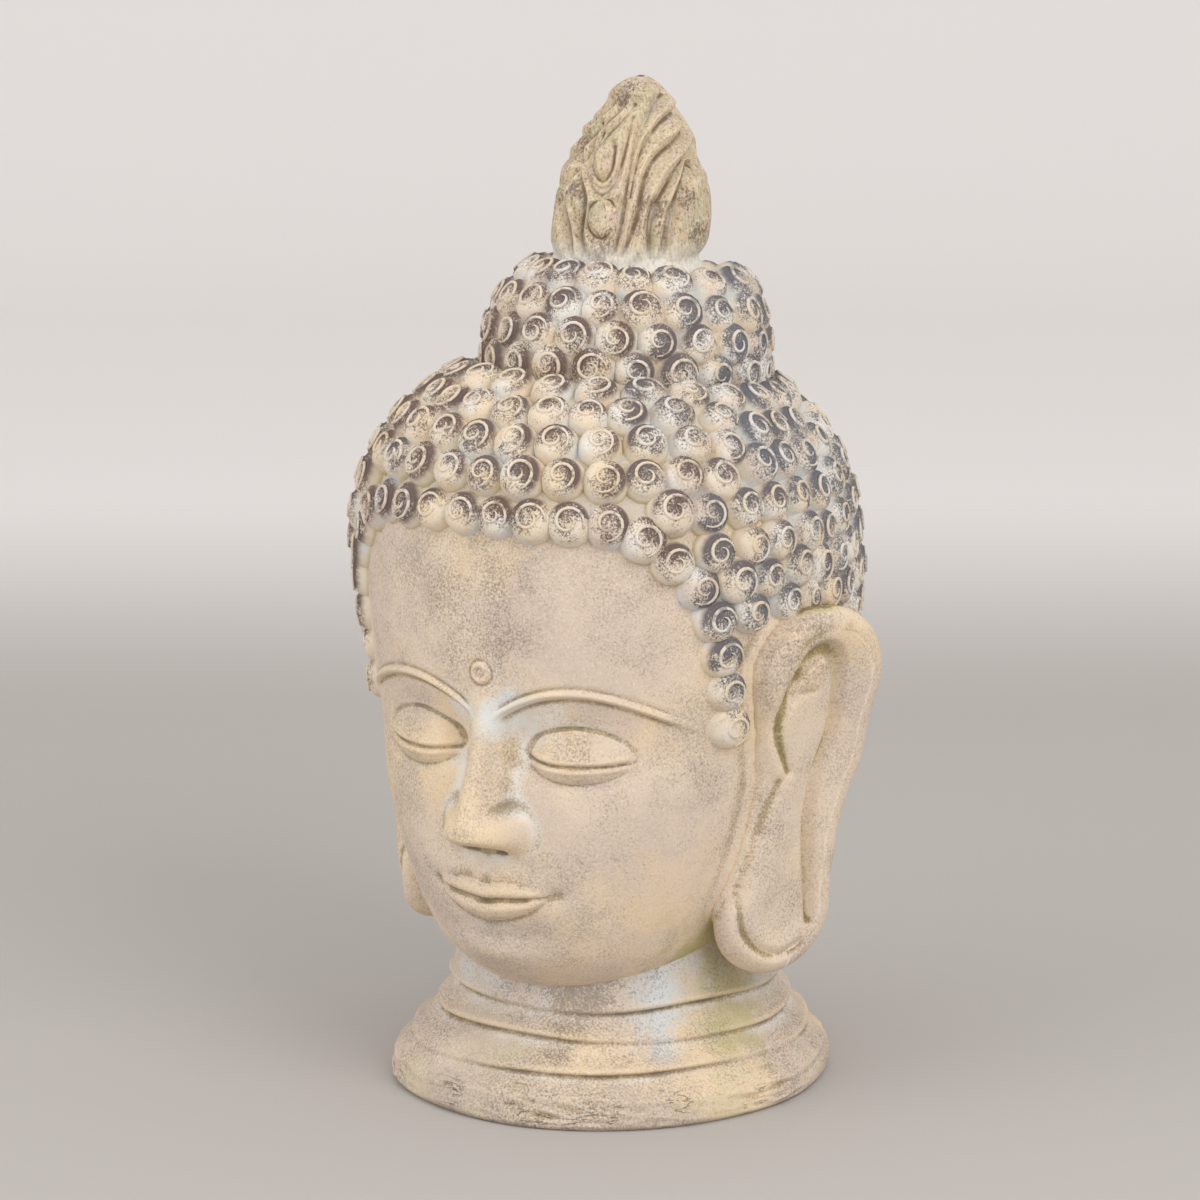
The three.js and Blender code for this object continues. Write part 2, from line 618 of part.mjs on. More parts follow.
// The topknot's rings of curls lie square to its leaning axis.
function knotGeometry() {
  const centre = new THREE.Vector3(0, knotAxisY(crownZ), crownZ + 0.05 * knotHeight);
  const seats = [];
  [0.13, 0.4, 0.66, 0.9].forEach((share, row) => {
    const z = crownZ + share * knotHeight;
    const from = new THREE.Vector3(0, knotAxisY(z), z);
    const aimed = (turn) => new THREE.Vector3(Math.sin(turn), -Math.cos(turn), knotLean * Math.cos(turn)).normalize();
    const radius = surfacePoint(knotField, from, aimed(Math.PI / 2), headReach).x;
    const count = Math.round((2 * Math.PI * radius) / curlPitch);
    for (let i = 0; i < count; i += 1) {
      seats.push(surfacePoint(knotField, from, aimed((2 * Math.PI * (i + 0.5 * (row % 2))) / count), headReach));
    }
  });
  const lows = lowPlaces(centre, seats, knotField);
  const ends = [];
  for (let i = 0; i < 20; i += 1) {
    const turn = (2 * Math.PI * i) / 20;
    const at = (rise) => surfacePoint(knotField, centre, headDirection(turn, rise), headReach);
    ends.push(at(-0.08), ...(i % 2 ? [at(-0.6), at(1.25)] : []));
  }
  ends.push(surfacePoint(knotField, centre, new THREE.Vector3(0, 0, -1), headReach));
  const clear = (p) => seats.every((seat) => seat.distanceTo(p) > 0.4 * curlPitch);
  return skinOver(centre, [...seats.flatMap((seat) => curlTop(centre, seat)), ...lows, ...ends.filter(clear)]);
}

// Joining
const wasm = await Module();
wasm.setup();

function solid(geometry) {
  const bare = new THREE.BufferGeometry().setAttribute("position", geometry.getAttribute("position"));
  bare.setIndex(geometry.index);
  const merged = mergeVertices(bare, 1e-4);
  return new wasm.Manifold(
    new wasm.Mesh({
      numProp: 3,
      vertProperties: merged.attributes.position.array,
      triVerts: new Uint32Array(merged.index.array),
    }),
  );
}

function castInOne(geometries) {
  const joined = geometries.map(solid).reduce((whole, next) => whole.add(next));
  const mesh = joined.getMesh();
  const geometry = new THREE.BufferGeometry();
  geometry.setAttribute("position", new THREE.BufferAttribute(mesh.vertProperties, 3));
  geometry.setIndex(new THREE.BufferAttribute(mesh.triVerts, 1));
  geometry.computeVertexNormals();
  return geometry;
}

const washedResin = new THREE.MeshStandardMaterial({ color: 0xd6c3a8, roughness: 0.82, metalness: 0 });
const casting = new THREE.Mesh(
  castInOne([headGeometry(), knotGeometry(), neckGeometry(), flameGeometry(), earGeometry(1), earGeometry(-1)]),
  washedResin,
);
casting.name = "head_casting";

const head = new THREE.Group();
head.add(casting);
export default head;
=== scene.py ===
# A cast resin head in its washed paint: face, snail-shell curls, topknot, flame finial, long ears and foot.
import math

import bpy
import numpy as np
from mathutils import Matrix, Vector


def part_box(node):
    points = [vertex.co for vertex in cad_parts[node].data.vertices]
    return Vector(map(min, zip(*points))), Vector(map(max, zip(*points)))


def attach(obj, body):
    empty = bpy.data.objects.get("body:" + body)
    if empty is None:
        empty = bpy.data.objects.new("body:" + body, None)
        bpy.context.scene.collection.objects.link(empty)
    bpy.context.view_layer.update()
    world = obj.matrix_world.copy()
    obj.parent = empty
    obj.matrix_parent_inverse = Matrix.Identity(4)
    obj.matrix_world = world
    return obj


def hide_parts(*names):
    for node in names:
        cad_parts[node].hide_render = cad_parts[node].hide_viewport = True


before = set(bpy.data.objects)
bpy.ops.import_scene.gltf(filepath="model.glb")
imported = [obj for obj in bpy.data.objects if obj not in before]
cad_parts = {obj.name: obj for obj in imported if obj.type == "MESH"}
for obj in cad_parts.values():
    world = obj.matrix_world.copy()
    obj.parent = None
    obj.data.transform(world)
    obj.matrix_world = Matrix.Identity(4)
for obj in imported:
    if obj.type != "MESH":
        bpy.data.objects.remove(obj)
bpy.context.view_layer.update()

CASTING = "head_casting"
LOW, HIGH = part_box(CASTING)
FINE = 1

# Design sizes in millimetres; MM brings them to the casting's real height
DESIGN_HEIGHT = 598.3
MM = (HIGH[2] - LOW[2]) / DESIGN_HEIGHT
BASE_WIDTH = 262
BASE_DEPTH = 278
RIM_HEIGHT = 14
NECK_HEIGHT = 78
NECK_WIDTH = 190
NECK_DEPTH = 204
NECK_SWEEP = 0.12
HEAD_HEIGHT = 345
HEAD_WIDTH = 268
HEAD_DEPTH = 285
HEAD_SHIFT = -12
FRONT_REACH = 0.46 * HEAD_DEPTH
BACK_REACH = HEAD_DEPTH - FRONT_REACH
SQUARENESS = 2.2
HAIR_THICKNESS = 5
CURL_PITCH = 24
KNOT_RADIUS = 78
KNOT_HEIGHT = 62
FLAME_HEIGHT = 115
EAR_LENGTH = 222
EAR_THICKNESS = 27
EAR_FLARE = math.radians(20)
EAR_LEAN = 0.126
EAR_ROOT_X = 0.4225 * HEAD_WIDTH

CHIN_Z = NECK_HEIGHT
CROWN_Z = CHIN_Z + HEAD_HEIGHT
KNOT_TOP_Z = CROWN_Z + KNOT_HEIGHT
HEAD_CENTRE = np.array((0, HEAD_SHIFT, CHIN_Z + 0.56 * HEAD_HEIGHT))

# The face by the classical rule of equal thirds and five eye widths
HAIRLINE_Z = CHIN_Z + 0.765 * HEAD_HEIGHT
THIRD = (HAIRLINE_Z - CHIN_Z) / 3
NOSE_Z = CHIN_Z + THIRD
BROW_Z = NOSE_Z + THIRD
EYE_Z = BROW_Z - 0.32 * THIRD
MOUTH_Z = NOSE_Z - THIRD / 3
EYE_WIDTH = HEAD_WIDTH / 5
EYE_X = EYE_WIDTH
NOSE_RISE = 0.34 * THIRD
MOUTH_HALF = 0.74 * EYE_WIDTH


# Curves and fields: every form is a field in millimetres that is negative inside the casting
def ease(start, end, value):
    t = np.clip((value - start) / (end - start), 0, 1)
    return t * t * (3 - 2 * t)


def mix(a, b, share):
    return a + (b - a) * share


def gauss(distance, width):
    return np.exp(-((distance / width) ** 2))


def spot(dx, dz, wide, high):
    return np.exp(-((dx / wide) ** 2) - (dz / high) ** 2)


def swell(a, b, radius):
    """How far the first of two forms swells to meet the second in a soft corner."""
    h = np.maximum(radius - np.abs(a - b), 0) / radius
    return h * h * radius / 4


def blend(a, b, radius):
    """Smooth union of two fields."""
    return np.minimum(a, b) - swell(a, b, radius)


def unit(vectors):
    return vectors / np.linalg.norm(vectors, axis=1)[:, None]


def placed(x, y, z):
    """Places from coordinates that are spread to one shape."""
    return np.stack(np.broadcast_arrays(x, y, z), -1)


def aimed(turn, rise):
    """Directions by turn from the front and rise over level."""
    return placed(np.sin(turn) * np.cos(rise), -np.cos(turn) * np.cos(rise), np.sin(rise))


def profile(*pairs):
    """A smooth curve through (place, value) pairs that never overshoots them."""
    places, values = np.array(pairs, dtype=float).T
    gaps = np.diff(places)
    slopes = np.diff(values) / gaps
    before = np.concatenate((slopes[:1], slopes))
    after = np.concatenate((slopes, slopes[-1:]))
    total = np.where(before + after == 0, 1, before + after)
    tangents = np.where(before * after <= 0, 0, 2 * before * after / total)

    def value_at(place):
        at = np.clip(place, places[0], places[-1])
        i = np.clip(np.searchsorted(places, at, side="right") - 1, 0, len(gaps) - 1)
        gap = gaps[i]
        t = (at - places[i]) / gap
        start = values[i] * (1 + 2 * t) * (1 - t) ** 2 + tangents[i] * gap * t * (1 - t) ** 2
        return start + values[i + 1] * t * t * (3 - 2 * t) - tangents[i + 1] * gap * t * t * (1 - t)

    return value_at


def chain_distance(u, v, links, softness=8):
    """Distance to a chain of discs joined by straight flanks; each link is (u, v, radius)."""
    nearest = None
    for (u0, v0, r0), (u1, v1, r1) in zip(links, links[1:]):
        along = ((u - u0) * (u1 - u0) + (v - v0) * (v1 - v0)) / ((u1 - u0) ** 2 + (v1 - v0) ** 2)
        s = np.clip(along, 0, 1)
        reach = np.hypot(u - mix(u0, u1, s), v - mix(v0, v1, s)) - mix(r0, r1, s)
        nearest = reach if nearest is None else blend(nearest, reach, softness)
    return nearest


def line_distance(u, v, links):
    """Distance to a carved line, whose links meet without a swelling."""
    return chain_distance(u, v, links, 0.01)


def flowing(links, steps=3):
    """More links along a smooth curve through the given ones."""
    links = np.array(links, dtype=float)
    line = np.vstack((2 * links[0] - links[1], links, 2 * links[-1] - links[-2]))
    made = []
    for a, b, c, d in zip(line, line[1:], line[2:], line[3:]):
        for t in np.arange(steps) / steps:
            made.append(b + 0.5 * t * (c - a + t * (2 * a - 5 * b + 4 * c - d + t * (3 * (b - c) + d - a))))
    return np.vstack((made, links[-1]))


def rounded_slab(outline, thickness, rounding):
    a, b = outline + rounding, thickness + rounding
    return np.hypot(np.maximum(a, 0), np.maximum(b, 0)) + np.minimum(np.maximum(a, b), 0) - rounding


def hand_worked(x, y, z, wave=38):
    """Slow unevenness of a hand-modelled surface, about -1 to 1."""
    first = np.sin(x / wave + 1.3 * np.sin(z / wave / 1.7)) + np.sin(y / wave * 1.21 + z / wave * 0.6 + 2)
    second = np.sin(z / wave * 1.43 - x / wave * 0.5 + 4) + np.sin((x - y + z) / wave * 0.83 + 1)
    return (first + second) / 3


# Neck and foot
NECK_FOLDS = (0.37, 0.58, 0.79)
neck_flare = profile(
    (0, 0), (RIM_HEIGHT / NECK_HEIGHT, 0.03), (0.3, 0.24), (0.45, 0.54), (0.6, 0.77), (0.8, 0.95), (1, 1),
    (1.3, 1.08), (1.75, 1.7),
)


def neck_axis(z):
    return NECK_SWEEP * z


def neck_field(x, y, z):
    share = z / NECK_HEIGHT
    narrowed = neck_flare(share)
    turn = np.arctan2(x, -y)
    wander = 0.012 * np.sin(2 * turn + 0.6) + 0.008 * np.sin(5 * turn + 2)
    fold = 0
    for order, at in enumerate(NECK_FOLDS):
        above = z - (at + wander) * NECK_HEIGHT - 1.5 * np.sin(turn * (1 + order) + 2 * order)
        depth = 0.75 + 0.35 * np.sin(3 * turn + 2.2 * order)
        fold += depth * (3.4 * ease(0.6, -1.8, above) * ease(-14, -2, above) - 2.2 * gauss(above - 2.2, 2.4))
    rim = 1.8 * gauss(z - 13 - 2 * np.sin(turn * 3 + 1), 3) * (0.6 + 0.4 * np.sin(4 * turn))
    edge = 4.5 * np.maximum(1 - z / 5, 0) ** 2
    chipped = np.abs(hand_worked(1.3 * x, 1.3 * y, 4.5 * z + 0.5 * x, 8)) * (0.4 + hand_worked(x, y, z, 23))
    uneven = hand_worked(x, y, z, 17) * ease(40, 6, z) - 2.2 * chipped * ease(36, 16, z) * ease(1, 6, z)
    uneven += 0.9 * hand_worked(x, y, z)
    half_width = mix(BASE_WIDTH, NECK_WIDTH, narrowed) / 2 - fold - rim - edge + uneven
    half_depth = mix(BASE_DEPTH, NECK_DEPTH, narrowed) / 2 - fold - rim - edge + uneven
    round_ = np.hypot(x / half_width, (y - neck_axis(z)) / half_depth)
    return (round_ - 1) * np.minimum(half_width, half_depth)


# Head
HEAD_LEVELS = (-0.04, -0.03, 0, 0.07, 0.18, 0.3, 0.42, 0.54, 0.66, 0.78, 0.86, 0.93, 0.98, 1.02, 1.045)
width_at, front_at, back_at = (profile(*zip(HEAD_LEVELS, shares)) for shares in (
    (0, 0.25, 0.49, 0.68, 0.825, 0.905, 0.957, 0.985, 1, 0.977, 0.92, 0.81, 0.67, 0.45, 0),
    (0, 0.45, 0.66, 0.82, 0.88, 0.915, 0.94, 0.975, 1, 0.98, 0.92, 0.81, 0.67, 0.45, 0),
    (0, 0.35, 0.54, 0.615, 0.72, 0.83, 0.915, 0.973, 1, 0.98, 0.92, 0.8, 0.66, 0.44, 0),
))
HAIR_EDGE_Z = HAIRLINE_Z + 12
OVER_EDGE = 0.47 * CURL_PITCH  # how far over the hairline the middles of its curls sit
CAP_TOP_RISE, CAP_ROW_STEP = math.radians(64), math.radians(7.4)
CAP_TOP_ROWS, CAP_LOW_ROWS = 4, 11
LOCK_TURN = 68
LOCK_SINK = 6.5
EDGE_SINK = 4.5
NAPE_TURN = 96
hairline_at = profile(
    (0, HAIR_EDGE_Z), (36, HAIR_EDGE_Z - 2), (50, HAIR_EDGE_Z - 0.07 * HEAD_HEIGHT),
    (59, HAIR_EDGE_Z - 0.14 * HEAD_HEIGHT), (64, HAIR_EDGE_Z - 0.26 * HEAD_HEIGHT),
    (LOCK_TURN, HAIR_EDGE_Z - 0.4 * HEAD_HEIGHT), (90, HAIR_EDGE_Z - 0.42 * HEAD_HEIGHT),
    (112, HAIR_EDGE_Z - 0.66 * HEAD_HEIGHT), (180, HAIR_EDGE_Z - 0.69 * HEAD_HEIGHT),
)


def turn_of(x, y):
    """Degrees round from the front."""
    return np.degrees(np.arctan2(np.abs(x), HEAD_SHIFT - y))


def over_hairline(x, y, z):
    return z - hairline_at(turn_of(x, y))


def skull_field(x, y, z):
    share = (z - CHIN_Z) / HEAD_HEIGHT
    half_width = np.maximum(width_at(share) * HEAD_WIDTH / 2, 0.5)
    reach = np.where(y < HEAD_SHIFT, front_at(share) * FRONT_REACH, back_at(share) * BACK_REACH)
    half_depth = np.maximum(reach, 0.5)
    across = np.abs(x / half_width) ** SQUARENESS + np.abs((y - HEAD_SHIFT) / half_depth) ** SQUARENESS
    return (across ** (1 / SQUARENESS) - 1) * np.minimum(half_width, half_depth)


def hair_core(x, y, z):
    return skull_field(x, y, z) - HAIR_THICKNESS


# Face
def brow_line(x):
    return BROW_Z + 0.1 * THIRD - ((np.abs(x) - 1.05 * EYE_X) / EYE_X) ** 2 * 0.24 * THIRD


def slit_line(x):
    return EYE_Z - 0.07 * THIRD + ((np.abs(x) - EYE_X) / EYE_X) ** 2 * 0.1 * THIRD


def mouth_line(x):
    return MOUTH_Z + (x / EYE_X) ** 2 * 0.07 * THIRD - 0.9 * gauss(x, 8)


def brows_and_sockets(side, x, z):
    from_eye = side - EYE_X
    from_brow = z - brow_line(x)
    along = ease(2.25 * EYE_X, 1.75 * EYE_X, side) * ease(0.1 * EYE_X, 0.3 * EYE_X, side)
    hollow = 7 * spot(from_eye, z - EYE_Z - 6, 0.6 * EYE_WIDTH, 0.26 * THIRD)
    hollow += 7 * spot(side - 0.42 * EYE_X, z - EYE_Z - 3, 0.22 * EYE_WIDTH, 0.2 * THIRD)
    under = 2.8 * ease(0.6, -3.4, from_brow) * ease(-0.6 * THIRD, -0.2 * THIRD, from_brow)
    roll = 2.4 * gauss(from_brow, 2.2) - 1.1 * gauss(from_brow - 4.2, 1.3)
    return (roll - under) * along - hollow


def eyes(side, x, z):
    from_eye = side - EYE_X
    across = from_eye / (0.56 * EYE_WIDTH)
    from_slit = z - slit_line(x)
    lid_height = np.where(from_slit > 0, 0.235 * THIRD, 0.125 * THIRD)
    ring = np.sqrt(np.abs(across) ** 1.8 + (from_slit / lid_height) ** 2)
    on_slit = ease(1.1, 0.85, np.abs(across))
    ball = 8 * np.maximum(1 - ring**2, 0) ** np.where(from_slit > 0, 0.6, 0.95)
    edges = 1.3 * gauss(from_slit - 2.7, 1.5) + 1.1 * gauss(from_slit + 3, 1.4) - 2.2 * gauss(from_slit, 1.2)
    crease = -0.9 * gauss(ring - 1.06, 0.06) * ease(-2, 3, from_slit)
    pouch = -0.4 * gauss(ring - 1.3, 0.2) * ease(2, -4, from_slit)
    return ball + edges * on_slit + crease + pouch


def nose(side, x, z):
    down = np.clip((BROW_Z - 0.08 * THIRD - z) / (BROW_Z - 0.28 * THIRD - NOSE_Z), 0, 1)
    bridge = mix(6, NOSE_RISE, down**1.25)
    wide = mix(9, 16.5, down**1.5)
    span = ease(BROW_Z + 0.2 * THIRD, BROW_Z - 0.2 * THIRD, z) * ease(NOSE_Z - 2.5, NOSE_Z + 0.12 * THIRD, z)
    ridge = bridge * np.exp(-((side / wide) ** 2.6)) * span
    tip = 2.6 * spot(x, z - NOSE_Z - 12, 11, 9)
    wing_x, wing_z = 0.34 * EYE_WIDTH, NOSE_Z + 0.125 * THIRD
    wing_ring = np.hypot((side - wing_x) / (0.17 * EYE_WIDTH), (z - wing_z) / (0.13 * THIRD))
    wings = 12.5 * np.exp(-(wing_ring**2.3))
    groove = -0.9 * gauss(wing_ring - 1.6, 0.3) * ease(NOSE_Z - 2, NOSE_Z + 6, z)
    nostrils = -6 * spot(side - 10, z - NOSE_Z - 0.5, 5, 2.6)
    return ridge + tip + wings + groove + nostrils


def mouth_and_chin(side, x, z):
    middle = mouth_line(x)
    inward = np.maximum(1 - (x / MOUTH_HALF) ** 2, 0)
    upper = 11.5 * inward**0.8 - 1.2 * gauss(x, 7)
    lower = 14 * np.maximum(1 - (x / (0.93 * MOUTH_HALF)) ** 2, 0) ** 0.75
    up_share = np.clip((z - middle) / np.maximum(upper, 0.5), 0, 1)
    low_share = np.clip((middle - z) / np.maximum(lower, 0.5), 0, 1)
    fullness = inward**0.35
    rolls = 4.2 * np.sin(np.pi * up_share**0.8) ** 0.9 + 5 * np.sin(np.pi * low_share**0.85) ** 0.9
    border = 0.45 * gauss(z - middle - upper - 0.4, 1.7) * inward**0.5
    parting = -2.2 * gauss(z - middle, 1.5) * ease(1.12 * MOUTH_HALF, 0.9 * MOUTH_HALF, side)
    corners = -3 * spot(side - 1.04 * MOUTH_HALF, z - middle, 7, 6)
    muzzle = 9 * spot(x, z - MOUTH_Z, 0.86 * EYE_WIDTH, 0.3 * THIRD)
    philtrum = (0.5 * gauss(side - 6, 3.4) - 0.3 * gauss(x, 5)) * ease(NOSE_Z + 2, NOSE_Z - 4, z)
    philtrum *= ease(middle + upper - 1, middle + upper + 3, z)
    chin = 6.5 * spot(x, z - CHIN_Z - 0.26 * THIRD, 0.5 * EYE_WIDTH, 0.2 * THIRD)
    under_lip = -3.4 * spot(x, z - MOUTH_Z + 0.27 * THIRD, 0.55 * EYE_WIDTH, 0.09 * THIRD)
    return rolls * fullness + border + parting + corners + muzzle + philtrum + chin + under_lip


def urna(x, z):
    """The dot between the brows: a raised ring with a dish in it."""
    out = np.hypot(x, z - BROW_Z - 0.2 * THIRD)
    ring = 2.2 * ease(7.2, 5.6, out) - 1.3 * ease(4.2, 2.4, out)
    return ring + 0.9 * ease(2.2, 0.8, out) - 0.6 * gauss(out - 7.6, 0.9)


def face_relief(x, z):
    side = np.abs(x)
    cheeks = 3.5 * spot(side - 1.25 * EYE_X, z - NOSE_Z - 0.15 * THIRD, 0.7 * EYE_WIDTH, 0.4 * THIRD)
    carved = brows_and_sockets(side, x, z) + eyes(side, x, z) + nose(side, x, z) + mouth_and_chin(side, x, z)
    return carved + cheeks + urna(x, z)


def bare_head(x, y, z):
    facing = ease(0, 40, HEAD_SHIFT - y)
    turn = turn_of(x, y)
    in_lock = ease(50, 60, turn) * ease(84, 74, turn) * ease(300, 270, z)
    hair = ease(2, 18, over_hairline(x, y, z)) * (1 - 0.8 * in_lock)
    carved = skull_field(x, y + face_relief(x, z) * facing * (1 - hair), z)
    return carved - (HAIR_THICKNESS - 1) * hair - 0.7 * hand_worked(x, y, z, 31)


# Ears, each in its own frame: u runs back along it, v up from the lobe and w outwards
EAR_OUTLINE = EAR_LENGTH * np.array((
    (0.05, 0.176, 0.178), (0.068, 0.315, 0.142), (0.085, 0.464, 0.138), (0.124, 0.631, 0.166),
    (0.153, 0.808, 0.204),
))
# Lines carved on it, as (u, v, half width): a deep one under the rolled rim and down behind the long inner
# form, one before that form, a fold over its top, and the shallow crease that parts the lobe from it
EAR_BACK_CUT = flowing((
    (12, 186, 2), (20, 196, 3), (31, 200, 3.6), (41, 192, 3.6), (43, 173, 3), (38, 148, 2.6), (25, 120, 2.2),
    (22, 97, 2), (24, 77, 2), (29, 46, 1.6), (31, 30, 0.8),
))
EAR_FRONT_CUT = flowing(((12, 186, 2), (4, 176, 2.2), (-3, 159, 2.2), (-3, 145, 2), (2, 128, 1)))
EAR_TOP_FOLD = flowing(((8, 172, 1), (15, 176, 1.4), (24, 175, 1.2)))
EAR_LOBE_CREASE = flowing((
    (-4, 122, 1), (-12, 103, 1.4), (-19, 77, 1.6), (-23, 54, 1.6), (-19, 31, 1.6), (-6, 18, 1.6),
    (10, 13, 1.2), (24, 18, 0.8),
))
EAR_ROUNDING = 0.42 * EAR_THICKNESS
EAR_WEB_INSET = 0.6 * EAR_THICKNESS
EAR_WEB_DEPTH = 2.6 * EAR_THICKNESS
EAR_FOOT_Z = CHIN_Z + 0.009 * HEAD_HEIGHT
ear_root_y = profile((0, -25), (0.45, -25), (0.82, -42), (1, -46))


def ear_form(u, v, w):
    outline = chain_distance(u, v, EAR_OUTLINE)
    back, front = line_distance(u, v, EAR_BACK_CUT), line_distance(u, v, EAR_FRONT_CUT)
    fold, crease = line_distance(u, v, EAR_TOP_FOLD), line_distance(u, v, EAR_LOBE_CREASE)
    sink = 7 * ease(4.6, -3.4, back) + 1.4 * gauss(back, 10) + 4 * ease(5.5, -3.2, front)
    sink += 1.6 * ease(4, -2, fold) + 2.6 * ease(4.5, -2, crease) + 2.2 * ease(-16, -30, outline)
    sink -= 1.2 * hand_worked(u, v, w, 21)
    sunk = np.where(w > 0, w + sink, w)
    slab = rounded_slab(outline, np.abs(sunk) - EAR_THICKNESS / 2, EAR_ROUNDING)
    web = rounded_slab(outline + EAR_WEB_INSET, np.abs(w + EAR_WEB_DEPTH / 2) - EAR_WEB_DEPTH / 2, 3)
    return blend(slab, web, 6)


def ear_to_head(u, v, w, side):
    x = EAR_ROOT_X + EAR_LEAN * v + u * math.sin(EAR_FLARE) + w * math.cos(EAR_FLARE)
    y = ear_root_y(v / EAR_LENGTH) + u * math.cos(EAR_FLARE) - w * math.sin(EAR_FLARE)
    return side * x, y, EAR_FOOT_Z + v


def head_to_ear(x, y, z):
    v = z - EAR_FOOT_Z
    dx = np.abs(x) - EAR_ROOT_X - EAR_LEAN * v
    dy = y - ear_root_y(v / EAR_LENGTH)
    sin, cos = math.sin(EAR_FLARE), math.cos(EAR_FLARE)
    return dx * sin + dy * cos, v, dx * cos - dy * sin


def ear_root_softness(u, v):
    """The ear runs softly into the cheek in front and sits in a tight corner behind and under the lobe."""
    return mix(4, mix(15, 5, ease(10, 35, u)), ease(25, 70, v))


def head_field(x, y, z):
    head = bare_head(x, y, z)
    near = (np.abs(x) > 70) & (z > CHIN_Z) & (z < CHIN_Z + 250) & (np.abs(head) < 25)
    if near.any():
        u, v, w = head_to_ear(x[near], y[near], z[near])
        head[near] -= swell(head[near], ear_form(u, v, w), ear_root_softness(u, v))
    return head


def ear_field(side):
    def field(u, v, w):
        ear = ear_form(u, v, w)
        return ear - swell(ear, bare_head(*ear_to_head(u, v, w, side)), ear_root_softness(u, v))

    return field


# Topknot and finial on an axis that leans back
KNOT_SHIFT, KNOT_LEAN = 16.5, 0.11
KNOT_FOOT_CURLS = 24
KNOT_ROWS = (0.13, 0.4, 0.66, 0.9)


def knot_axis(z):
    return KNOT_SHIFT + KNOT_LEAN * (z - CROWN_Z)


def knot_field(x, y, z):
    middle, half_height, power = CROWN_Z + 0.1 * KNOT_HEIGHT, 1.02 * KNOT_HEIGHT, 2.9
    round_ = np.hypot(x, y - knot_axis(z)) / KNOT_RADIUS
    return ((round_**power + np.abs((z - middle) / half_height) ** power) ** (1 / power) - 1) * half_height


# Flame: a bud of thick strands that stream up and round it, parted by cut lines. Each is a chain of (turn in
# degrees from the front, share of the height, half width in millimetres); a negative width makes it shallow.
FLAME_CUTS = (
    ((-20, 0.11, 0.8), (-25, 0.22, 1.2), (-34, 0.35, 1.2), (-58, 0.51, 1), (-74, 0.66, 0.8), (-88, 0.8, 0.5)),
    ((-6, 0.12, 0.6), (-13, 0.22, 1), (-12, 0.4, 1.6), (-20, 0.49, 1.3), (-40, 0.64, 1), (-60, 0.76, 0.8),
     (-80, 0.88, 0.5)),
    ((-27, 0.76, 0.5), (-22, 0.63, 1.6), (-12, 0.51, 1.9), (3, 0.44, 2.2), (14, 0.52, 1.4), (19, 0.66, 1),
     (21, 0.8, 0.6)),
    ((-13, 0.72, 0.4), (-16, 0.64, 0.8), (-9, 0.54, 1), (2, 0.49, 1), (9, 0.55, 0.8), (8, 0.66, 0.4)),
    ((18, 0.27, -2.4), (8, 0.21, -1.8), (-4, 0.25, -1.4), (-7, 0.33, -1.4), (1, 0.4, -1.6), (12, 0.405, -2),
     (19, 0.35, -2.4)),
    ((18, 0.14, 0.6), (22, 0.3, 1.2), (25, 0.5, 1), (28, 0.68, 1.6), (40, 0.79, 1.6), (65, 0.87, 1),
     (95, 0.91, 0.6)),
    ((27, 0.42, 0.5), (31, 0.58, 1), (40, 0.69, 1.3), (61, 0.77, 1), (90, 0.81, 0.8), (124, 0.83, 0.5)),
    ((24, 0.13, 0.6), (33, 0.3, 1.4), (38, 0.5, 1.2), (50, 0.61, 1), (74, 0.68, 0.9), (100, 0.72, 0.7),
     (128, 0.74, 0.5)),
    ((45, 0.12, 0.8), (44, 0.3, 2), (52, 0.43, 1), (68, 0.54, 0.8), (95, 0.6, 0.8), (126, 0.63, 0.6)),
    ((56, 0.12, 1.5), (62, 0.33, 1.6), (72, 0.47, 1), (88, 0.545, 1), (106, 0.55, 1), (118, 0.47, 1.2),
     (124, 0.28, 1.2), (122, 0.1, 1)),
)
FLAME_BACK_SWEEP = ((0.1, 0), (0.3, 6), (0.5, 22), (0.68, 44), (0.86, 76))
FLAME_BACK_CUTS = tuple(
    tuple((turn + sweep, share, 1.1) for share, sweep in FLAME_BACK_SWEEP)
    for turn in (140, 168, 196, 224, 252, 280, 304)
)
bud_at = profile(
    (-0.12, 52), (0.02, 50), (0.1, 46), (0.2, 46), (0.42, 44.8), (0.52, 42), (0.62, 37), (0.75, 29.5),
    (0.86, 19.5), (0.94, 13), (0.98, 7.5), (1, 0.5),
)


def flame_reach(turn, share):
    """How far the flame stands from its axis."""
    bud = bud_at(share)
    nearest = 30.0
    for cuts, shift in ((FLAME_CUTS, 0), (FLAME_BACK_CUTS, 0), (FLAME_BACK_CUTS, -360)):
        for cut in cuts:
            links = [(bud * math.radians(a + shift), FLAME_HEIGHT * up, half) for a, up, half in flowing(cut)]
            nearest = np.minimum(nearest, line_distance(bud * turn, FLAME_HEIGHT * share, links))
    carved = 3 - 1.9 * ease(1.6, -1.2, nearest) - 5 * gauss(np.maximum(nearest, 0), 3.6)
    carved -= 0.9 * gauss(nearest - 4, 0.9) * ease(-0.4, 0.5, np.sin(7 * turn + 11 * share))
    leaf = 4 * gauss(turn - math.radians(106), 0.5) * ease(0.54, 0.49, share) * ease(0.04, 0.2, share)
    leaf -= gauss(turn - math.radians(120), 0.9) * (3.4 + 4 * ease(0.68, 0.56, share))
    leaf += 3.5 * spot(turn - math.radians(96), share - 0.865, 0.6, 0.05)
    slant = 1.1 * np.sin(5 * turn - 9 * share + 1) * ease(0.1, 0.3, share)
    return bud + (carved * ease(0.06, 0.16, share) + slant) * np.minimum(1, bud / 14) + leaf


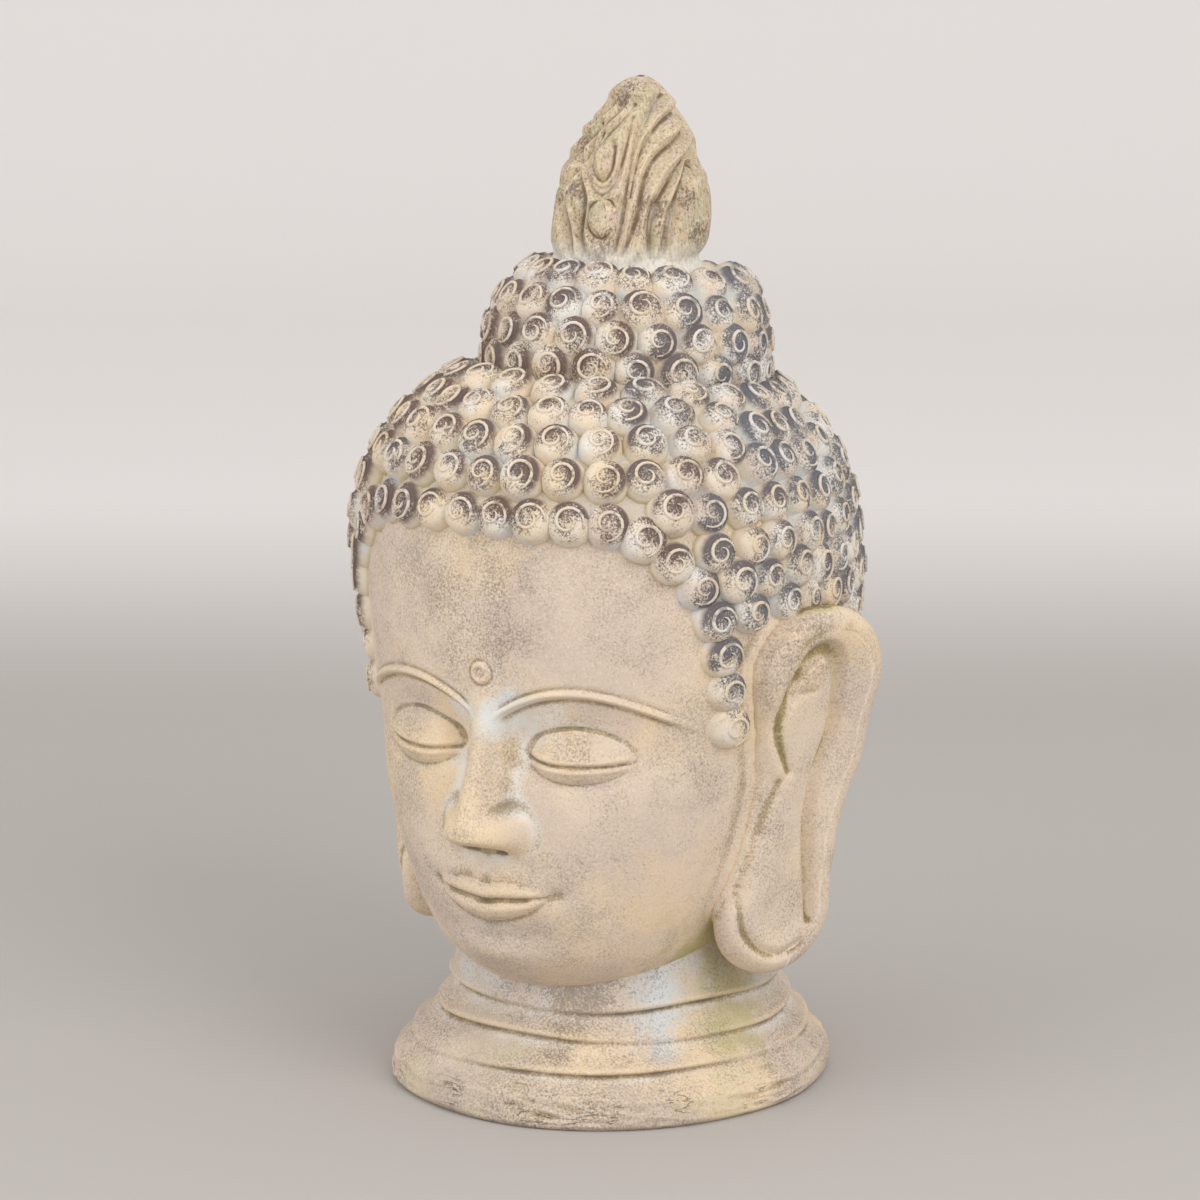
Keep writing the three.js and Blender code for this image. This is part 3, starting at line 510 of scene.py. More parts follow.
# Skins: rays from the middle of a form find its surface
HALVINGS = 22
HEAD_LIMIT = HEAD_HEIGHT + HEAD_DEPTH
CREASE_PASSES = 14
HOLLOW_PASSES = 110


def reach_along(field, starts, aims, limit):
    inside = np.zeros(starts.shape[:-1])
    outside = np.full(starts.shape[:-1], float(limit))
    for _ in range(HALVINGS):
        middle = (inside + outside) / 2
        places = starts + aims * middle[..., None]
        solid = field(places[..., 0], places[..., 1], places[..., 2]) < 0
        inside = np.where(solid, middle, inside)
        outside = np.where(solid, outside, middle)
    return (inside + outside) / 2


def smoothed(grid, passes):
    for _ in range(passes):
        up = np.vstack((grid[:1], grid[:-1]))
        down = np.vstack((grid[1:], grid[-1:]))
        grid = (grid * 2 + up + down + np.roll(grid, 1, 1) + np.roll(grid, -1, 1)) / 6
    return grid


def depths(reach, passes, least):
    """How deep each place of a skin lies between those round it, and nothing for its two ends."""
    return np.append(smoothed(reach, max(int(passes * FINE**2), least)) - reach, (0, 0))


def closed_skin(name, starts, aims, reach, place=None):
    """A closed skin from rows of rays that go round a form, with a point at each end.

    It keeps how deep each place lies, close by and further round, for the wash, painted shade and painted
    highlight that the finishes lay by it.
    """
    rows, columns = reach.shape
    points = starts + aims * reach[..., None]
    places = np.vstack((points.reshape(-1, 3), points[0].mean(0), points[-1].mean(0)))
    if place:
        places = np.array(place(*places.T)).T
    a = np.arange(rows - 1)[:, None] * columns + np.arange(columns)
    b = np.arange(rows - 1)[:, None] * columns + (np.arange(columns) + 1) % columns
    quads = np.stack((a, b, b + columns, a + columns), -1).reshape(-1, 4).tolist()
    foot, top, last = rows * columns, rows * columns + 1, (rows - 1) * columns
    fans = [(foot, (i + 1) % columns, i) for i in range(columns)]
    fans += [(top, last + i, last + (i + 1) % columns) for i in range(columns)]
    crease, hollow = depths(reach, CREASE_PASSES, 3), depths(reach, HOLLOW_PASSES, 12)
    return add_piece(name, places * MM, quads + fans, crease=crease, hollow=hollow)


def surface(field, starts, aims, limit):
    """Where rays leave a form."""
    return starts + aims * reach_along(field, starts, aims, limit)[..., None]


def skin_of(name, field, starts, aims, limit, place=None):
    return closed_skin(name, starts, aims, reach_along(field, starts, aims, limit), place)


def add_piece(name, places, faces=(), **marks):
    """A smooth object from places in metres; a mark keeps a number or three for each of them."""
    mesh = bpy.data.meshes.new(name)
    mesh.from_pydata(np.array(places).tolist(), [], faces)
    mesh.polygons.foreach_set("use_smooth", [True] * len(mesh.polygons))
    for label, values in marks.items():
        values = np.array(values, dtype=np.float32)
        kind, part = ("FLOAT", "value") if values.ndim == 1 else ("FLOAT_VECTOR", "vector")
        mesh.attributes.new(label, kind, "POINT").data.foreach_set(part, values.ravel())
    piece = bpy.data.objects.new(name, mesh)
    bpy.context.scene.collection.objects.link(piece)
    return piece


def counted(number):
    return max(int(number * FINE), 8)


def head_skin():
    rows = counted(284)
    s = np.interp(np.linspace(0, 1, rows), (0, 0.1, 0.89, 1), (0.02, 0.14, 0.8, 0.985))
    levels = (0, 0.06, 0.14, 0.22, 0.3, 0.5, 0.7, 0.8, 0.9, 1)
    rise = np.radians(profile(*zip(levels, (-90, -60, -35, -18, -10, -2, 8, 25, 55, 90)))(s))
    height = profile(*zip(levels, (130, 130, 135, 150, 180, 240, 290, 305, 315, 320)))(s)
    sectors = ((-180, -110, 20), (-110, -58, 42), (-58, 58, 212), (58, 110, 42), (110, 180, 20))
    turn = np.radians(np.concatenate([np.linspace(a, b, counted(n), endpoint=False) for a, b, n in sectors]))
    starts = placed(0 * turn, HEAD_SHIFT, height[:, None])
    return skin_of("head_skin", head_field, starts, aimed(turn, rise[:, None]), HEAD_LIMIT)


def upright_rays(axis, z, columns):
    """Level rays at each height, round an axis that says its y there."""
    turn = np.linspace(-math.pi, math.pi, columns, endpoint=False)
    return placed(0 * turn, axis(z)[:, None], z[:, None]), aimed(turn, 0)


def neck_skin():
    z = np.concatenate((np.linspace(0, 6, counted(14)), np.linspace(6.6, 1.72 * NECK_HEIGHT, counted(160))))
    return skin_of("neck_and_foot", neck_field, *upright_rays(neck_axis, z, counted(420)), BASE_DEPTH)


def knot_skin():
    z = np.linspace(CROWN_Z - 20, CROWN_Z + 1.1 * KNOT_HEIGHT, counted(70))
    return skin_of("topknot_core", knot_field, *upright_rays(knot_axis, z, counted(140)), 2 * KNOT_RADIUS)


def flame_skin():
    shares = np.append(np.linspace(-0.12, 0.9, counted(200)), np.linspace(0.905, 0.999, counted(30)))
    starts, aims = upright_rays(knot_axis, KNOT_TOP_Z + FLAME_HEIGHT * shares, counted(430))
    reach = flame_reach(np.arctan2(aims[:, 0], -aims[:, 1]), shares[:, None])
    return closed_skin("flame_finial", starts, aims, reach)


def ear_skin(name, side):
    """Rays square to the ear's two faces and fanned round its rim."""
    v = EAR_LENGTH * np.interp(np.linspace(0, 1, counted(210)), (0, 0.06, 0.92, 1), (0, 0.045, 0.965, 1.0115))
    u = np.linspace(-60, 110, 341)
    depth = chain_distance(u[None], v[:, None], EAR_OUTLINE)
    inner = depth < np.maximum(-EAR_ROUNDING - 2, depth.min(1, keepdims=True) + 0.5)
    low, high = u[inner.argmax(1)], u[len(u) - 1 - inner[:, ::-1].argmax(1)]
    rim, back, front = counted(24), counted(40), counted(120)
    round_rim = np.linspace(0, math.pi, rim, endpoint=False)
    corner = round_rim[:rim // 2]
    aim = np.concatenate((
        corner, np.full(back, math.pi / 2), math.pi / 2 + round_rim, np.full(front, 1.5 * math.pi),
        1.5 * math.pi + corner,
    ))[::side]
    ones = np.ones(rim // 2)
    along = np.concatenate((
        ones, np.linspace(1, 0, back), np.zeros(rim), np.linspace(0, 1, front), ones,
    ))[::side]
    starts = placed(mix(low[:, None], high[:, None], along), v[:, None], -1)
    aims = placed(np.cos(aim), 0, -np.sin(aim))

    def on_head(u, v, w):
        return ear_to_head(u, v, w, side)

    return skin_of(name, ear_field(side), starts, aims, 2 * EAR_LENGTH, on_head)


# Seats of the curls on the head
def seats_on(aims):
    return surface(hair_core, HEAD_CENTRE + 0 * aims, aims, HEAD_LIMIT)


def clear_of(others, seat, gap):
    return min(np.linalg.norm(np.array(others) - seat, axis=1)) > gap


def seats_at_heights(turns, heights):
    low, high = np.full(len(turns), -1.3), np.full(len(turns), 1.3)
    for _ in range(20):
        rise = (low + high) / 2
        below = seats_on(aimed(np.radians(turns), rise))[:, 2] < heights
        low, high = np.where(below, rise, low), np.where(below, high, rise)
    return seats_on(aimed(np.radians(turns), low))


def even_steps(path, pitch, first):
    lengths = np.append(0, np.cumsum(np.linalg.norm(np.diff(path, axis=0), axis=1)))
    at = np.arange(first, lengths[-1], pitch)
    return np.stack([np.interp(at, lengths, path[:, k]) for k in range(3)], -1)


def edge_curls():
    """The curls along the hairline down to the lock before the ear, and those round the nape."""
    front = np.linspace(0, LOCK_TURN - 0.5, 60)
    nape = np.linspace(180, NAPE_TURN, 30)
    half = np.vstack([
        even_steps(seats_at_heights(turns, hairline_at(turns) + OVER_EDGE), pitch, 0.5 * pitch)
        for turns, pitch in ((front, 0.94 * CURL_PITCH), (nape, CURL_PITCH))
    ])
    return np.vstack((half, half * (-1, 1, 1)))


def knot_foot_curls():
    """The ring of curls on the head that closes round the topknot's foot."""
    radius, level = KNOT_RADIUS + 0.5 * CURL_PITCH, CROWN_Z - 16.0
    turns = 2 * math.pi * (np.arange(KNOT_FOOT_CURLS) + 0.5) / KNOT_FOOT_CURLS
    ring = placed(radius * np.sin(turns), knot_axis(level) - radius * np.cos(turns), level)
    return seats_on(unit(ring - HEAD_CENTRE))


def cap_curls():
    """All seats on the head: those of the edges stay, and level rows between them are nudged even."""
    fixed = list(edge_curls()) + list(knot_foot_curls())
    rise = math.atan2(HAIR_EDGE_Z + OVER_EDGE - HEAD_CENTRE[2], 0.96 * FRONT_REACH)
    loose = []
    for row in range(CAP_TOP_ROWS, -CAP_LOW_ROWS - 1, -1):
        level = rise + row * ((CAP_TOP_RISE - rise) / CAP_TOP_ROWS if row > 0 else CAP_ROW_STEP)
        around = seats_on(aimed(np.array([math.pi / 2]), level))[0, 0]
        count = 2 * round(math.pi * around / CURL_PITCH)
        turns = 2 * math.pi * (np.arange(count) + (0.5 if row % 2 == 0 else 0)) / count
        for seat in seats_on(aimed(turns, level)):
            if over_hairline(*seat) > OVER_EDGE and clear_of(fixed, seat, 0.6 * CURL_PITCH):
                loose.append(seat)
    seats = spread_evenly(np.array(fixed), np.array(loose))
    seats = spread_evenly(np.array(fixed), np.vstack((seats[len(fixed):], gaps_among(seats))))
    x, y, z = seats.T
    clear_of_knot = np.hypot(x, y - knot_axis(z)) > KNOT_RADIUS + 4
    seats = seats[clear_of_knot & (ear_form(*head_to_ear(x, y, z)) > 4)]
    x, y, z = seats.T
    turn = turn_of(x, y)
    in_lock = ease(50, 58, turn) * ease(80, 74, turn) * ease(HAIR_EDGE_Z - 40, HAIR_EDGE_Z - 75, z)
    sink = np.maximum(EDGE_SINK * ease(36, 14, over_hairline(x, y, z)), LOCK_SINK * in_lock)
    return seats - outward(hair_core, seats) * sink[:, None]


def gaps_among(seats):
    """Seats for the bare places that are left between the others."""
    turn, rise = np.radians(np.meshgrid(np.arange(0, 360, 3), np.arange(-70, 64, 2)))
    tried = seats_on(aimed(turn.ravel(), rise.ravel()))
    in_hair = over_hairline(*tried.T) > 0.4 * CURL_PITCH
    tried = tried[in_hair & (ear_form(*head_to_ear(*tried.T)) > 0.7 * CURL_PITCH)]
    taken = list(seats)
    for seat in tried:
        if clear_of(taken, seat, 0.7 * CURL_PITCH):
            taken.append(seat)
    return np.array(taken[len(seats):]).reshape(-1, 3)


def spread_evenly(fixed, loose):
    """Nudges the loose seats apart until none crowds its neighbours; the fixed ones stay."""
    wanted = 0.92 * CURL_PITCH
    for _ in range(60):
        away = loose[:, None] - np.vstack((fixed, loose))[None]
        gap = np.linalg.norm(away, axis=2)
        near = (gap < wanted) & (gap > 0)
        push = np.where(near, (wanted - gap) / np.where(near, gap, 1), 0)
        loose = seats_on(unit(loose + 0.3 * (away * push[..., None]).sum(1) - HEAD_CENTRE))
    return np.vstack((fixed, loose))


def knot_ring(z, turns):
    """Seats on the topknot, square to its leaning axis."""
    aims = unit(placed(np.sin(turns), -np.cos(turns), KNOT_LEAN * np.cos(turns)))
    return surface(knot_field, placed(0 * turns, knot_axis(z), z), aims, 2 * KNOT_RADIUS)


def knot_curls():
    seats = []
    for row, share in enumerate(KNOT_ROWS):
        z = CROWN_Z + share * KNOT_HEIGHT
        count = round(2 * math.pi * knot_ring(z, np.array([math.pi / 2]))[0, 0] / CURL_PITCH)
        seats.append(knot_ring(z, 2 * math.pi * (np.arange(count) + 0.5 * (row % 2)) / count))
    return np.vstack(seats)


def outward(field, seats):
    """Unit directions square to a form's surface."""
    return unit(np.stack([field(*(seats + d).T) - field(*(seats - d).T) for d in 1.5 * np.eye(3)], -1))


# The curl: a round knob with a dished face and a ridge that winds in on it, both repeated over the hair
KNOB_RINGS = ((16, -6), (13.8, -1), (12.7, 3.6), (10.9, 7.2), (7.2, 9))
KNOB_TOP = 9.4
KNOB_SIDES = 14
SPIRAL_STEPS = 20
SPIRAL_TURNS = 1.25
SPIN_START, SPIN_SPREAD = -60, 70
SIZE_RANGE = (0.93, 1.08)


def knob_mesh():
    turns = 2 * math.pi * np.arange(KNOB_SIDES) / KNOB_SIDES
    places = [(r * math.cos(t), r * math.sin(t), h) for r, h in KNOB_RINGS for t in turns]
    places += [(0, 0, -6), (0, 0, KNOB_TOP)]
    foot, top, last = len(places) - 2, len(places) - 1, (len(KNOB_RINGS) - 1) * KNOB_SIDES
    faces = []
    for i in range(KNOB_SIDES):
        j = (i + 1) % KNOB_SIDES
        faces += [(foot, j, i), (top, last + i, last + j)]
        for ring in range(0, last, KNOB_SIDES):
            faces.append((ring + i, ring + j, ring + KNOB_SIDES + j, ring + KNOB_SIDES + i))
    return add_piece("curl_knob", np.array(places) * MM, faces, raised=[0] * len(places), curl_local=places)


def spiral_mesh():
    places, raised = [], []
    for step in range(SPIRAL_STEPS + 1):
        share = step / SPIRAL_STEPS
        turn = 2 * math.pi * SPIRAL_TURNS * share
        radius = mix(9.9, 2.9, share**0.8)
        half = mix(1.6, 1.1, share) * math.sin(math.pi * min(max(share, 0.03), 0.97)) ** 0.4
        floor = np.interp(radius, (0, 7.2, 10.9, 12.7), (KNOB_TOP, 9, 7.2, 3.6))
        for out, up in ((-half, -0.6), (half, -1), (0.5 * half, 1.1), (-0.5 * half, 1.4)):
            places.append(((radius + out) * math.cos(turn), (radius + out) * math.sin(turn), floor + up))
            raised.append(1 if up > 0 else 0)
    faces = [(0, 1, 2, 3), tuple(4 * SPIRAL_STEPS + k for k in (3, 2, 1, 0))]
    for start in range(0, 4 * SPIRAL_STEPS, 4):
        for k in range(4):
            n = (k + 1) % 4
            faces.append((start + k, start + 4 + k, start + 4 + n, start + n))
    return add_piece("curl_spiral", np.array(places) * MM, faces, raised=raised, curl_local=places)


def curl_tree():
    """Sets a knob and its spiral on every point, turned and sized as the point says."""
    tree = bpy.data.node_groups.new("curls_on_hair", "GeometryNodeTree")
    inputs = {}
    kinds = {"Geometry": "Geometry", "Knob": "Object", "Spiral": "Object", "Finish": "Material"}
    for label, kind in kinds.items():
        socket = tree.interface.new_socket(label, in_out="INPUT", socket_type="NodeSocket" + kind)
        inputs[label] = socket.identifier
    tree.interface.new_socket("Geometry", in_out="OUTPUT", socket_type="NodeSocketGeometry")

    def add(kind, links=()):
        node = tree.nodes.new(kind)
        for label, output in links:
            tree.links.new(output, node.inputs[label])
        return node

    def on_point(name, kind):
        node = add("GeometryNodeInputNamedAttribute")
        node.data_type = kind
        node.inputs["Name"].default_value = name
        return node.outputs["Attribute"]

    source = add("NodeGroupInput").outputs
    turn, size = on_point("curl_turn", "FLOAT_VECTOR"), on_point("curl_size", "FLOAT")
    joined = add("GeometryNodeJoinGeometry")
    for label in ("Knob", "Spiral"):
        shape = add("GeometryNodeObjectInfo", [("Object", source[label])]).outputs["Geometry"]
        links = [("Points", source["Geometry"]), ("Instance", shape), ("Rotation", turn), ("Scale", size)]
        copies = add("GeometryNodeInstanceOnPoints", links)
        tree.links.new(copies.outputs["Instances"], joined.inputs["Geometry"])
    real = add("GeometryNodeRealizeInstances", [("Geometry", joined.outputs["Geometry"])])
    links = [("Geometry", real.outputs["Geometry"]), ("Material", source["Finish"])]
    painted = add("GeometryNodeSetMaterial", links)
    add("NodeGroupOutput", [("Geometry", painted.outputs["Geometry"])])
    return tree, inputs


def curls(finish):
    cap, knot = cap_curls(), knot_curls()
    seats = np.vstack((cap, knot))
    normals = np.vstack((outward(hair_core, cap), outward(knot_field, knot)))
    chance = np.random.default_rng(7)
    jitter = chance.uniform(-SPIN_SPREAD, SPIN_SPREAD, len(seats))
    sizes = chance.uniform(*SIZE_RANGE, len(seats))
    tones = chance.uniform(0, 1, len(seats))
    turns = []
    for normal, spin in zip(normals, jitter):
        out = Vector(normal)
        east = Vector((0, 0, 1)).cross(out).normalized()
        upright = Matrix((east, out.cross(east), out)).transposed()
        turns.append(tuple((upright @ Matrix.Rotation(math.radians(spin + SPIN_START), 3, "Z")).to_euler()))
    piece = add_piece("curls", seats * MM, curl_turn=turns, curl_size=sizes, curl_tone=tones)
    knob, spiral = knob_mesh(), spiral_mesh()
    tree, inputs = curl_tree()
    grow = piece.modifiers.new("Curls", "NODES")
    grow.node_group = tree
    for label, value in (("Knob", knob), ("Spiral", spiral), ("Finish", finish)):
        grow[inputs[label]] = value
    made = bpy.data.meshes.new_from_object(piece.evaluated_get(bpy.context.evaluated_depsgraph_get()))
    piece.modifiers.clear()
    piece.data = made
    for shape in (knob, spiral):
        bpy.data.objects.remove(shape)
    return piece


# Paint finishes. A colour is written as it is seen and turned into the light it stands for.
def seen(red, green, blue):
    def light(value):
        value /= 255
        return value / 12.92 if value <= 0.04045 else ((value + 0.055) / 1.055) ** 2.4

    return light(red), light(green), light(blue), 1.0


class Finish:
    """A paint finish put together in layers, each laid over the last by masks."""

    def __init__(self, name, ground):
        self.material = bpy.data.materials.new(name)
        self.material.use_nodes = True
        self.tree = self.material.node_tree
        self.shader = self.tree.nodes["Principled BSDF"]
        self.places = self.add("ShaderNodeTexCoord").outputs["Object"]
        self.colour = ground

    def add(self, kind, inputs=None, **settings):
        node = self.tree.nodes.new(kind)
        for label, value in settings.items():
            setattr(node, label, value)
        for label, value in (inputs or {}).items():
            if isinstance(value, bpy.types.NodeSocket):
                self.tree.links.new(value, node.inputs[label])
            else:
                node.inputs[label].default_value = value
        return node

    def attribute(self, name, output="Fac"):
        return self.add("ShaderNodeAttribute", attribute_name=name).outputs[output]

    def maths(self, operation, a, b=0.0, clamp=False):
        return self.add("ShaderNodeMath", {0: a, 1: b}, operation=operation, use_clamp=clamp).outputs[0]

    def times(self, first, *others):
        for other in others:
            first = self.maths("MULTIPLY", first, other)
        return first

    def plus(self, first, *others):
        for other in others:
            first = self.maths("ADD", first, other)
        return first

    def vectors(self, operation, a, b=(0, 0, 0)):
        return self.add("ShaderNodeVectorMath", {0: a, 1: b}, operation=operation).outputs["Value"]

    def parts(self, vector):
        return self.add("ShaderNodeSeparateXYZ", {0: vector}).outputs

    def between(self, value, low, high, start=0.0, end=1.0):
        """The value brought smoothly from one range to another."""
        ranges = {"Value": value, "From Min": low, "From Max": high, "To Min": start, "To Max": end}
        return self.add("ShaderNodeMapRange", ranges, interpolation_type="SMOOTHSTEP").outputs[0]

    def noise(self, grain, detail=4.0, rough=0.55, shift=0.0, stretch=(1, 1, 1)):
        """Uneven patches, about grain metres across."""
        places = self.places
        if shift or stretch != (1, 1, 1):
            moved = {"Vector": places, "Location": (shift,) * 3, "Scale": stretch}
            places = self.add("ShaderNodeMapping", moved).outputs[0]
        look = {"Vector": places, "Scale": 1 / grain, "Detail": detail, "Roughness": rough}
        return self.add("ShaderNodeTexNoise", look).outputs["Fac"]

    def mixed(self, share, under, over):
        return self.add("ShaderNodeMix", {0: share, 6: under, 7: over}, data_type="RGBA").outputs[2]

    def lay(self, colour, *masks):
        """Lays a colour over what is there, as strongly as the product of the masks says."""
        self.colour = self.mixed(self.times(*masks), self.colour, colour)

    def relief(self, height, depth, strength=1.0):
        bump = self.add("ShaderNodeBump", {"Height": height, "Distance": depth, "Strength": strength})
        if self.shader.inputs["Normal"].links:
            self.tree.links.new(self.shader.inputs["Normal"].links[0].from_socket, bump.inputs["Normal"])
        self.tree.links.new(bump.outputs["Normal"], self.shader.inputs["Normal"])

    def done(self, roughness=0.85):
        self.tree.links.new(self.colour, self.shader.inputs["Base Color"])
        self.shader.inputs["Roughness"].default_value = roughness
        self.shader.inputs["Specular IOR Level"].default_value = 0.25
        return self.material


CREAM = seen(228, 209, 187)
WARM_CREAM = seen(232, 209, 176)
ROSY_CREAM = seen(217, 198, 182)
GREY_CREAM = seen(208, 193, 176)
NECK_CREAM = seen(198, 182, 164)
CURL_CREAM = seen(226, 207, 177)
PALE_WASH = seen(230, 229, 224)
BLUE_WASH = seen(209, 213, 215)
CHALK = seen(224, 226, 225)
HAIR_GROUND = seen(202, 194, 182)
GREY_RUB = seen(138, 119, 107)
UMBER = seen(92, 73, 63)
PLUM_BROWN = seen(99, 79, 75)
SLATE = seen(97, 98, 106)
OCHRE = seen(208, 178, 124)
OLIVE = seen(184, 175, 120)
PALE_OLIVE = seen(212, 202, 162)
EAR_OLIVE = seen(198, 186, 122)
FLAME_GROUND, FLAME_CREAM, FLAME_PINK = seen(200, 181, 152), seen(215, 196, 165), seen(206, 184, 166)
FLAME_OLIVE, FLAME_TAN, FLAME_BROWN = seen(190, 182, 148), seen(162, 138, 106), seen(118, 94, 68)
FLOOR_GREY, WALL_WHITE = seen(186, 181, 177), seen(238, 234, 232)


def speckled(paint, patches, grain, low, high):
    """A mask of fine specks that gather where the patches are."""
    return paint.between(paint.plus(paint.noise(grain, 3.0, 0.6), patches), low, high)


def washed_ground(paint, rub=1.0):
    """The wash all the casting wears: cream in slow warm and rosy drifts, under a fine rubbed grey grain."""
    paint.lay(WARM_CREAM, paint.between(paint.noise(0.11, 3.0), 0.44, 0.64))
    paint.lay(ROSY_CREAM, paint.between(paint.noise(0.08, shift=3.1), 0.44, 0.62, 0, 0.9))
    drift = paint.noise(0.05, 6.0, 0.62, shift=7.7)
    paint.lay(GREY_CREAM, paint.between(drift, 0.46, 0.7, 0, 0.7))
    grain = paint.between(paint.noise(0.0014, 4.0, 0.7, shift=1.0), 0.42, 0.66)
    paint.lay(GREY_RUB, grain, paint.between(drift, 0.38, 0.68, 0.12 * rub, 0.6 * rub))
    paint.lay(PALE_WASH, paint.between(paint.noise(0.0019, 3.0, 0.6, shift=1.7), 0.54, 0.7, 0, 0.4))


def washed_hollows_and_painted_shade(paint, dark=0.45, hollow_colour=PALE_WASH):
    """Lays a colour in the hollows, painted shade and paint in the cuts, a painted highlight on the ridges,
    and brown grain along the cuts.
    """
    hollow, crease = paint.attribute("hollow"), paint.attribute("crease")
    patches = paint.noise(0.03)
    # The hollow colour: a pale wash on the face, neck and flame, and olive painted shade in the ears'
    # hollows.
    paint.lay(hollow_colour, paint.between(hollow, 0.4, 3.0), paint.between(patches, 0.35, 0.6, 0.15, 0.85))
    # Ochre, olive and brown in the cuts: partly the thin paint lines the casting has there, partly painted
    # shade in the cuts.
    cut = paint.between(crease, 0.15, 1.2, 0, 0.55)
    paint.lay(OCHRE, cut)
    paint.lay(OLIVE, cut, paint.between(paint.noise(0.04, 2.0, shift=5.0), 0.46, 0.62))
    paint.lay(UMBER, cut, paint.between(paint.noise(0.02, 4.0, 0.7, shift=8.0), 0.42, 0.6, 0, 0.8))
    # Warm cream on the ridges: a painted highlight.
    paint.lay(WARM_CREAM, paint.between(crease, -0.25, -0.9, 0, 0.4))
    edges = paint.between(crease, 0.1, 0.8, 0, 0.2)
    gathered = paint.plus(edges, paint.times(paint.noise(0.035, 5.0, 0.6, shift=2.5), 0.6))
    paint.lay(UMBER, speckled(paint, gathered, 0.0013, 0.8, 1.12), dark)


def grained(paint, strength=1.0):
    paint.relief(paint.noise(0.0012, 4.0, 0.65), 0.0005, 0.5 * strength)
    paint.relief(paint.noise(0.008, 3.0, 0.5, shift=4.0), 0.0014, 0.4 * strength)


def stain_and_shade_patch(paint, place, reach):
    """A mask for a ragged patch round a place, both in design millimetres."""
    away = paint.vectors("DISTANCE", paint.places, tuple(c * MM for c in place))
    ragged = paint.between(paint.noise(0.025, 5.0, 0.6, shift=place[2]), 0.3, 0.7, -0.5, 0.5)
    return paint.between(paint.plus(paint.maths("DIVIDE", away, reach * MM), ragged), 1.15, 0.1)


def rub_grey(paint, place, reach, strength):
    """Grey grain rubbed over a ragged patch."""
    grain = paint.between(paint.noise(0.0015, 4.0, 0.7, shift=2.0), 0.42, 0.66)
    paint.lay(GREY_RUB, stain_and_shade_patch(paint, place, reach), grain, strength)


def height_mask(paint, low, high):
    """Rises from nothing to full between two heights in design millimetres."""
    return paint.between(paint.parts(paint.places)["Z"], low * MM, high * MM)


def skin_finish():
    """Chalky by the inner corners of the eyes, grey on forehead, lids and lips, and olive painted shade in
    the corner under one lobe by the jaw.
    """
    paint = Finish("washed resin", CREAM)
    washed_ground(paint)
    front = HEAD_SHIFT - FRONT_REACH
    for x, rise, reach in ((22, 22, 28), (-22, 18, 18), (24, -2, 16)):
        paint.lay(CHALK, stain_and_shade_patch(paint, (x, front, EYE_Z + rise), reach), 0.85)
    for *place, reach in (
        (0, front, HAIRLINE_Z - 30, 60), (8, front - 20, MOUTH_Z + 10, 24), (0, front - 30, NOSE_Z + 8, 16),
        (1.1 * EYE_X, front + 6, EYE_Z + 3, 22), (-1.1 * EYE_X, front + 6, EYE_Z + 3, 22),
    ):
        rub_grey(paint, place, reach, 0.7)
    for *place, reach in ((88, -70, MOUTH_Z - 6, 46), (30, front, MOUTH_Z, 22), (105, -30, CHIN_Z + 26, 24)):
        paint.lay(WARM_CREAM, stain_and_shade_patch(paint, place, reach), 0.6)
    # Olive painted shade in the corner under the lobe, by the jaw.
    paint.lay(OLIVE, stain_and_shade_patch(paint, (96, -34, CHIN_Z + 14), 40), 0.8)
    paint.lay(HAIR_GROUND, height_mask(paint, HAIR_EDGE_Z + 4, HAIR_EDGE_Z + 12), 0.8)
    # Pale wash in the hollows, painted shade in the cuts and a painted highlight on the ridges.
    washed_hollows_and_painted_shade(paint)
    grained(paint)
    return paint.done()


def ear_finish():
    """As the face, with olive painted shade in the grooves and hollows and grey rubbed over the rim's top."""
    paint = Finish("washed resin, ears", CREAM)
    washed_ground(paint, 1.2)
    for side in (1, -1):
        rub_grey(paint, ear_to_head(0, 0.9 * EAR_LENGTH, 0.5 * EAR_THICKNESS, side), 36, 0.8)
    # Olive painted shade in the hollows, painted shade in the cuts and a painted highlight on the ridges.
    washed_hollows_and_painted_shade(paint, 0.5, EAR_OLIVE)
    grained(paint)
    return paint.done()


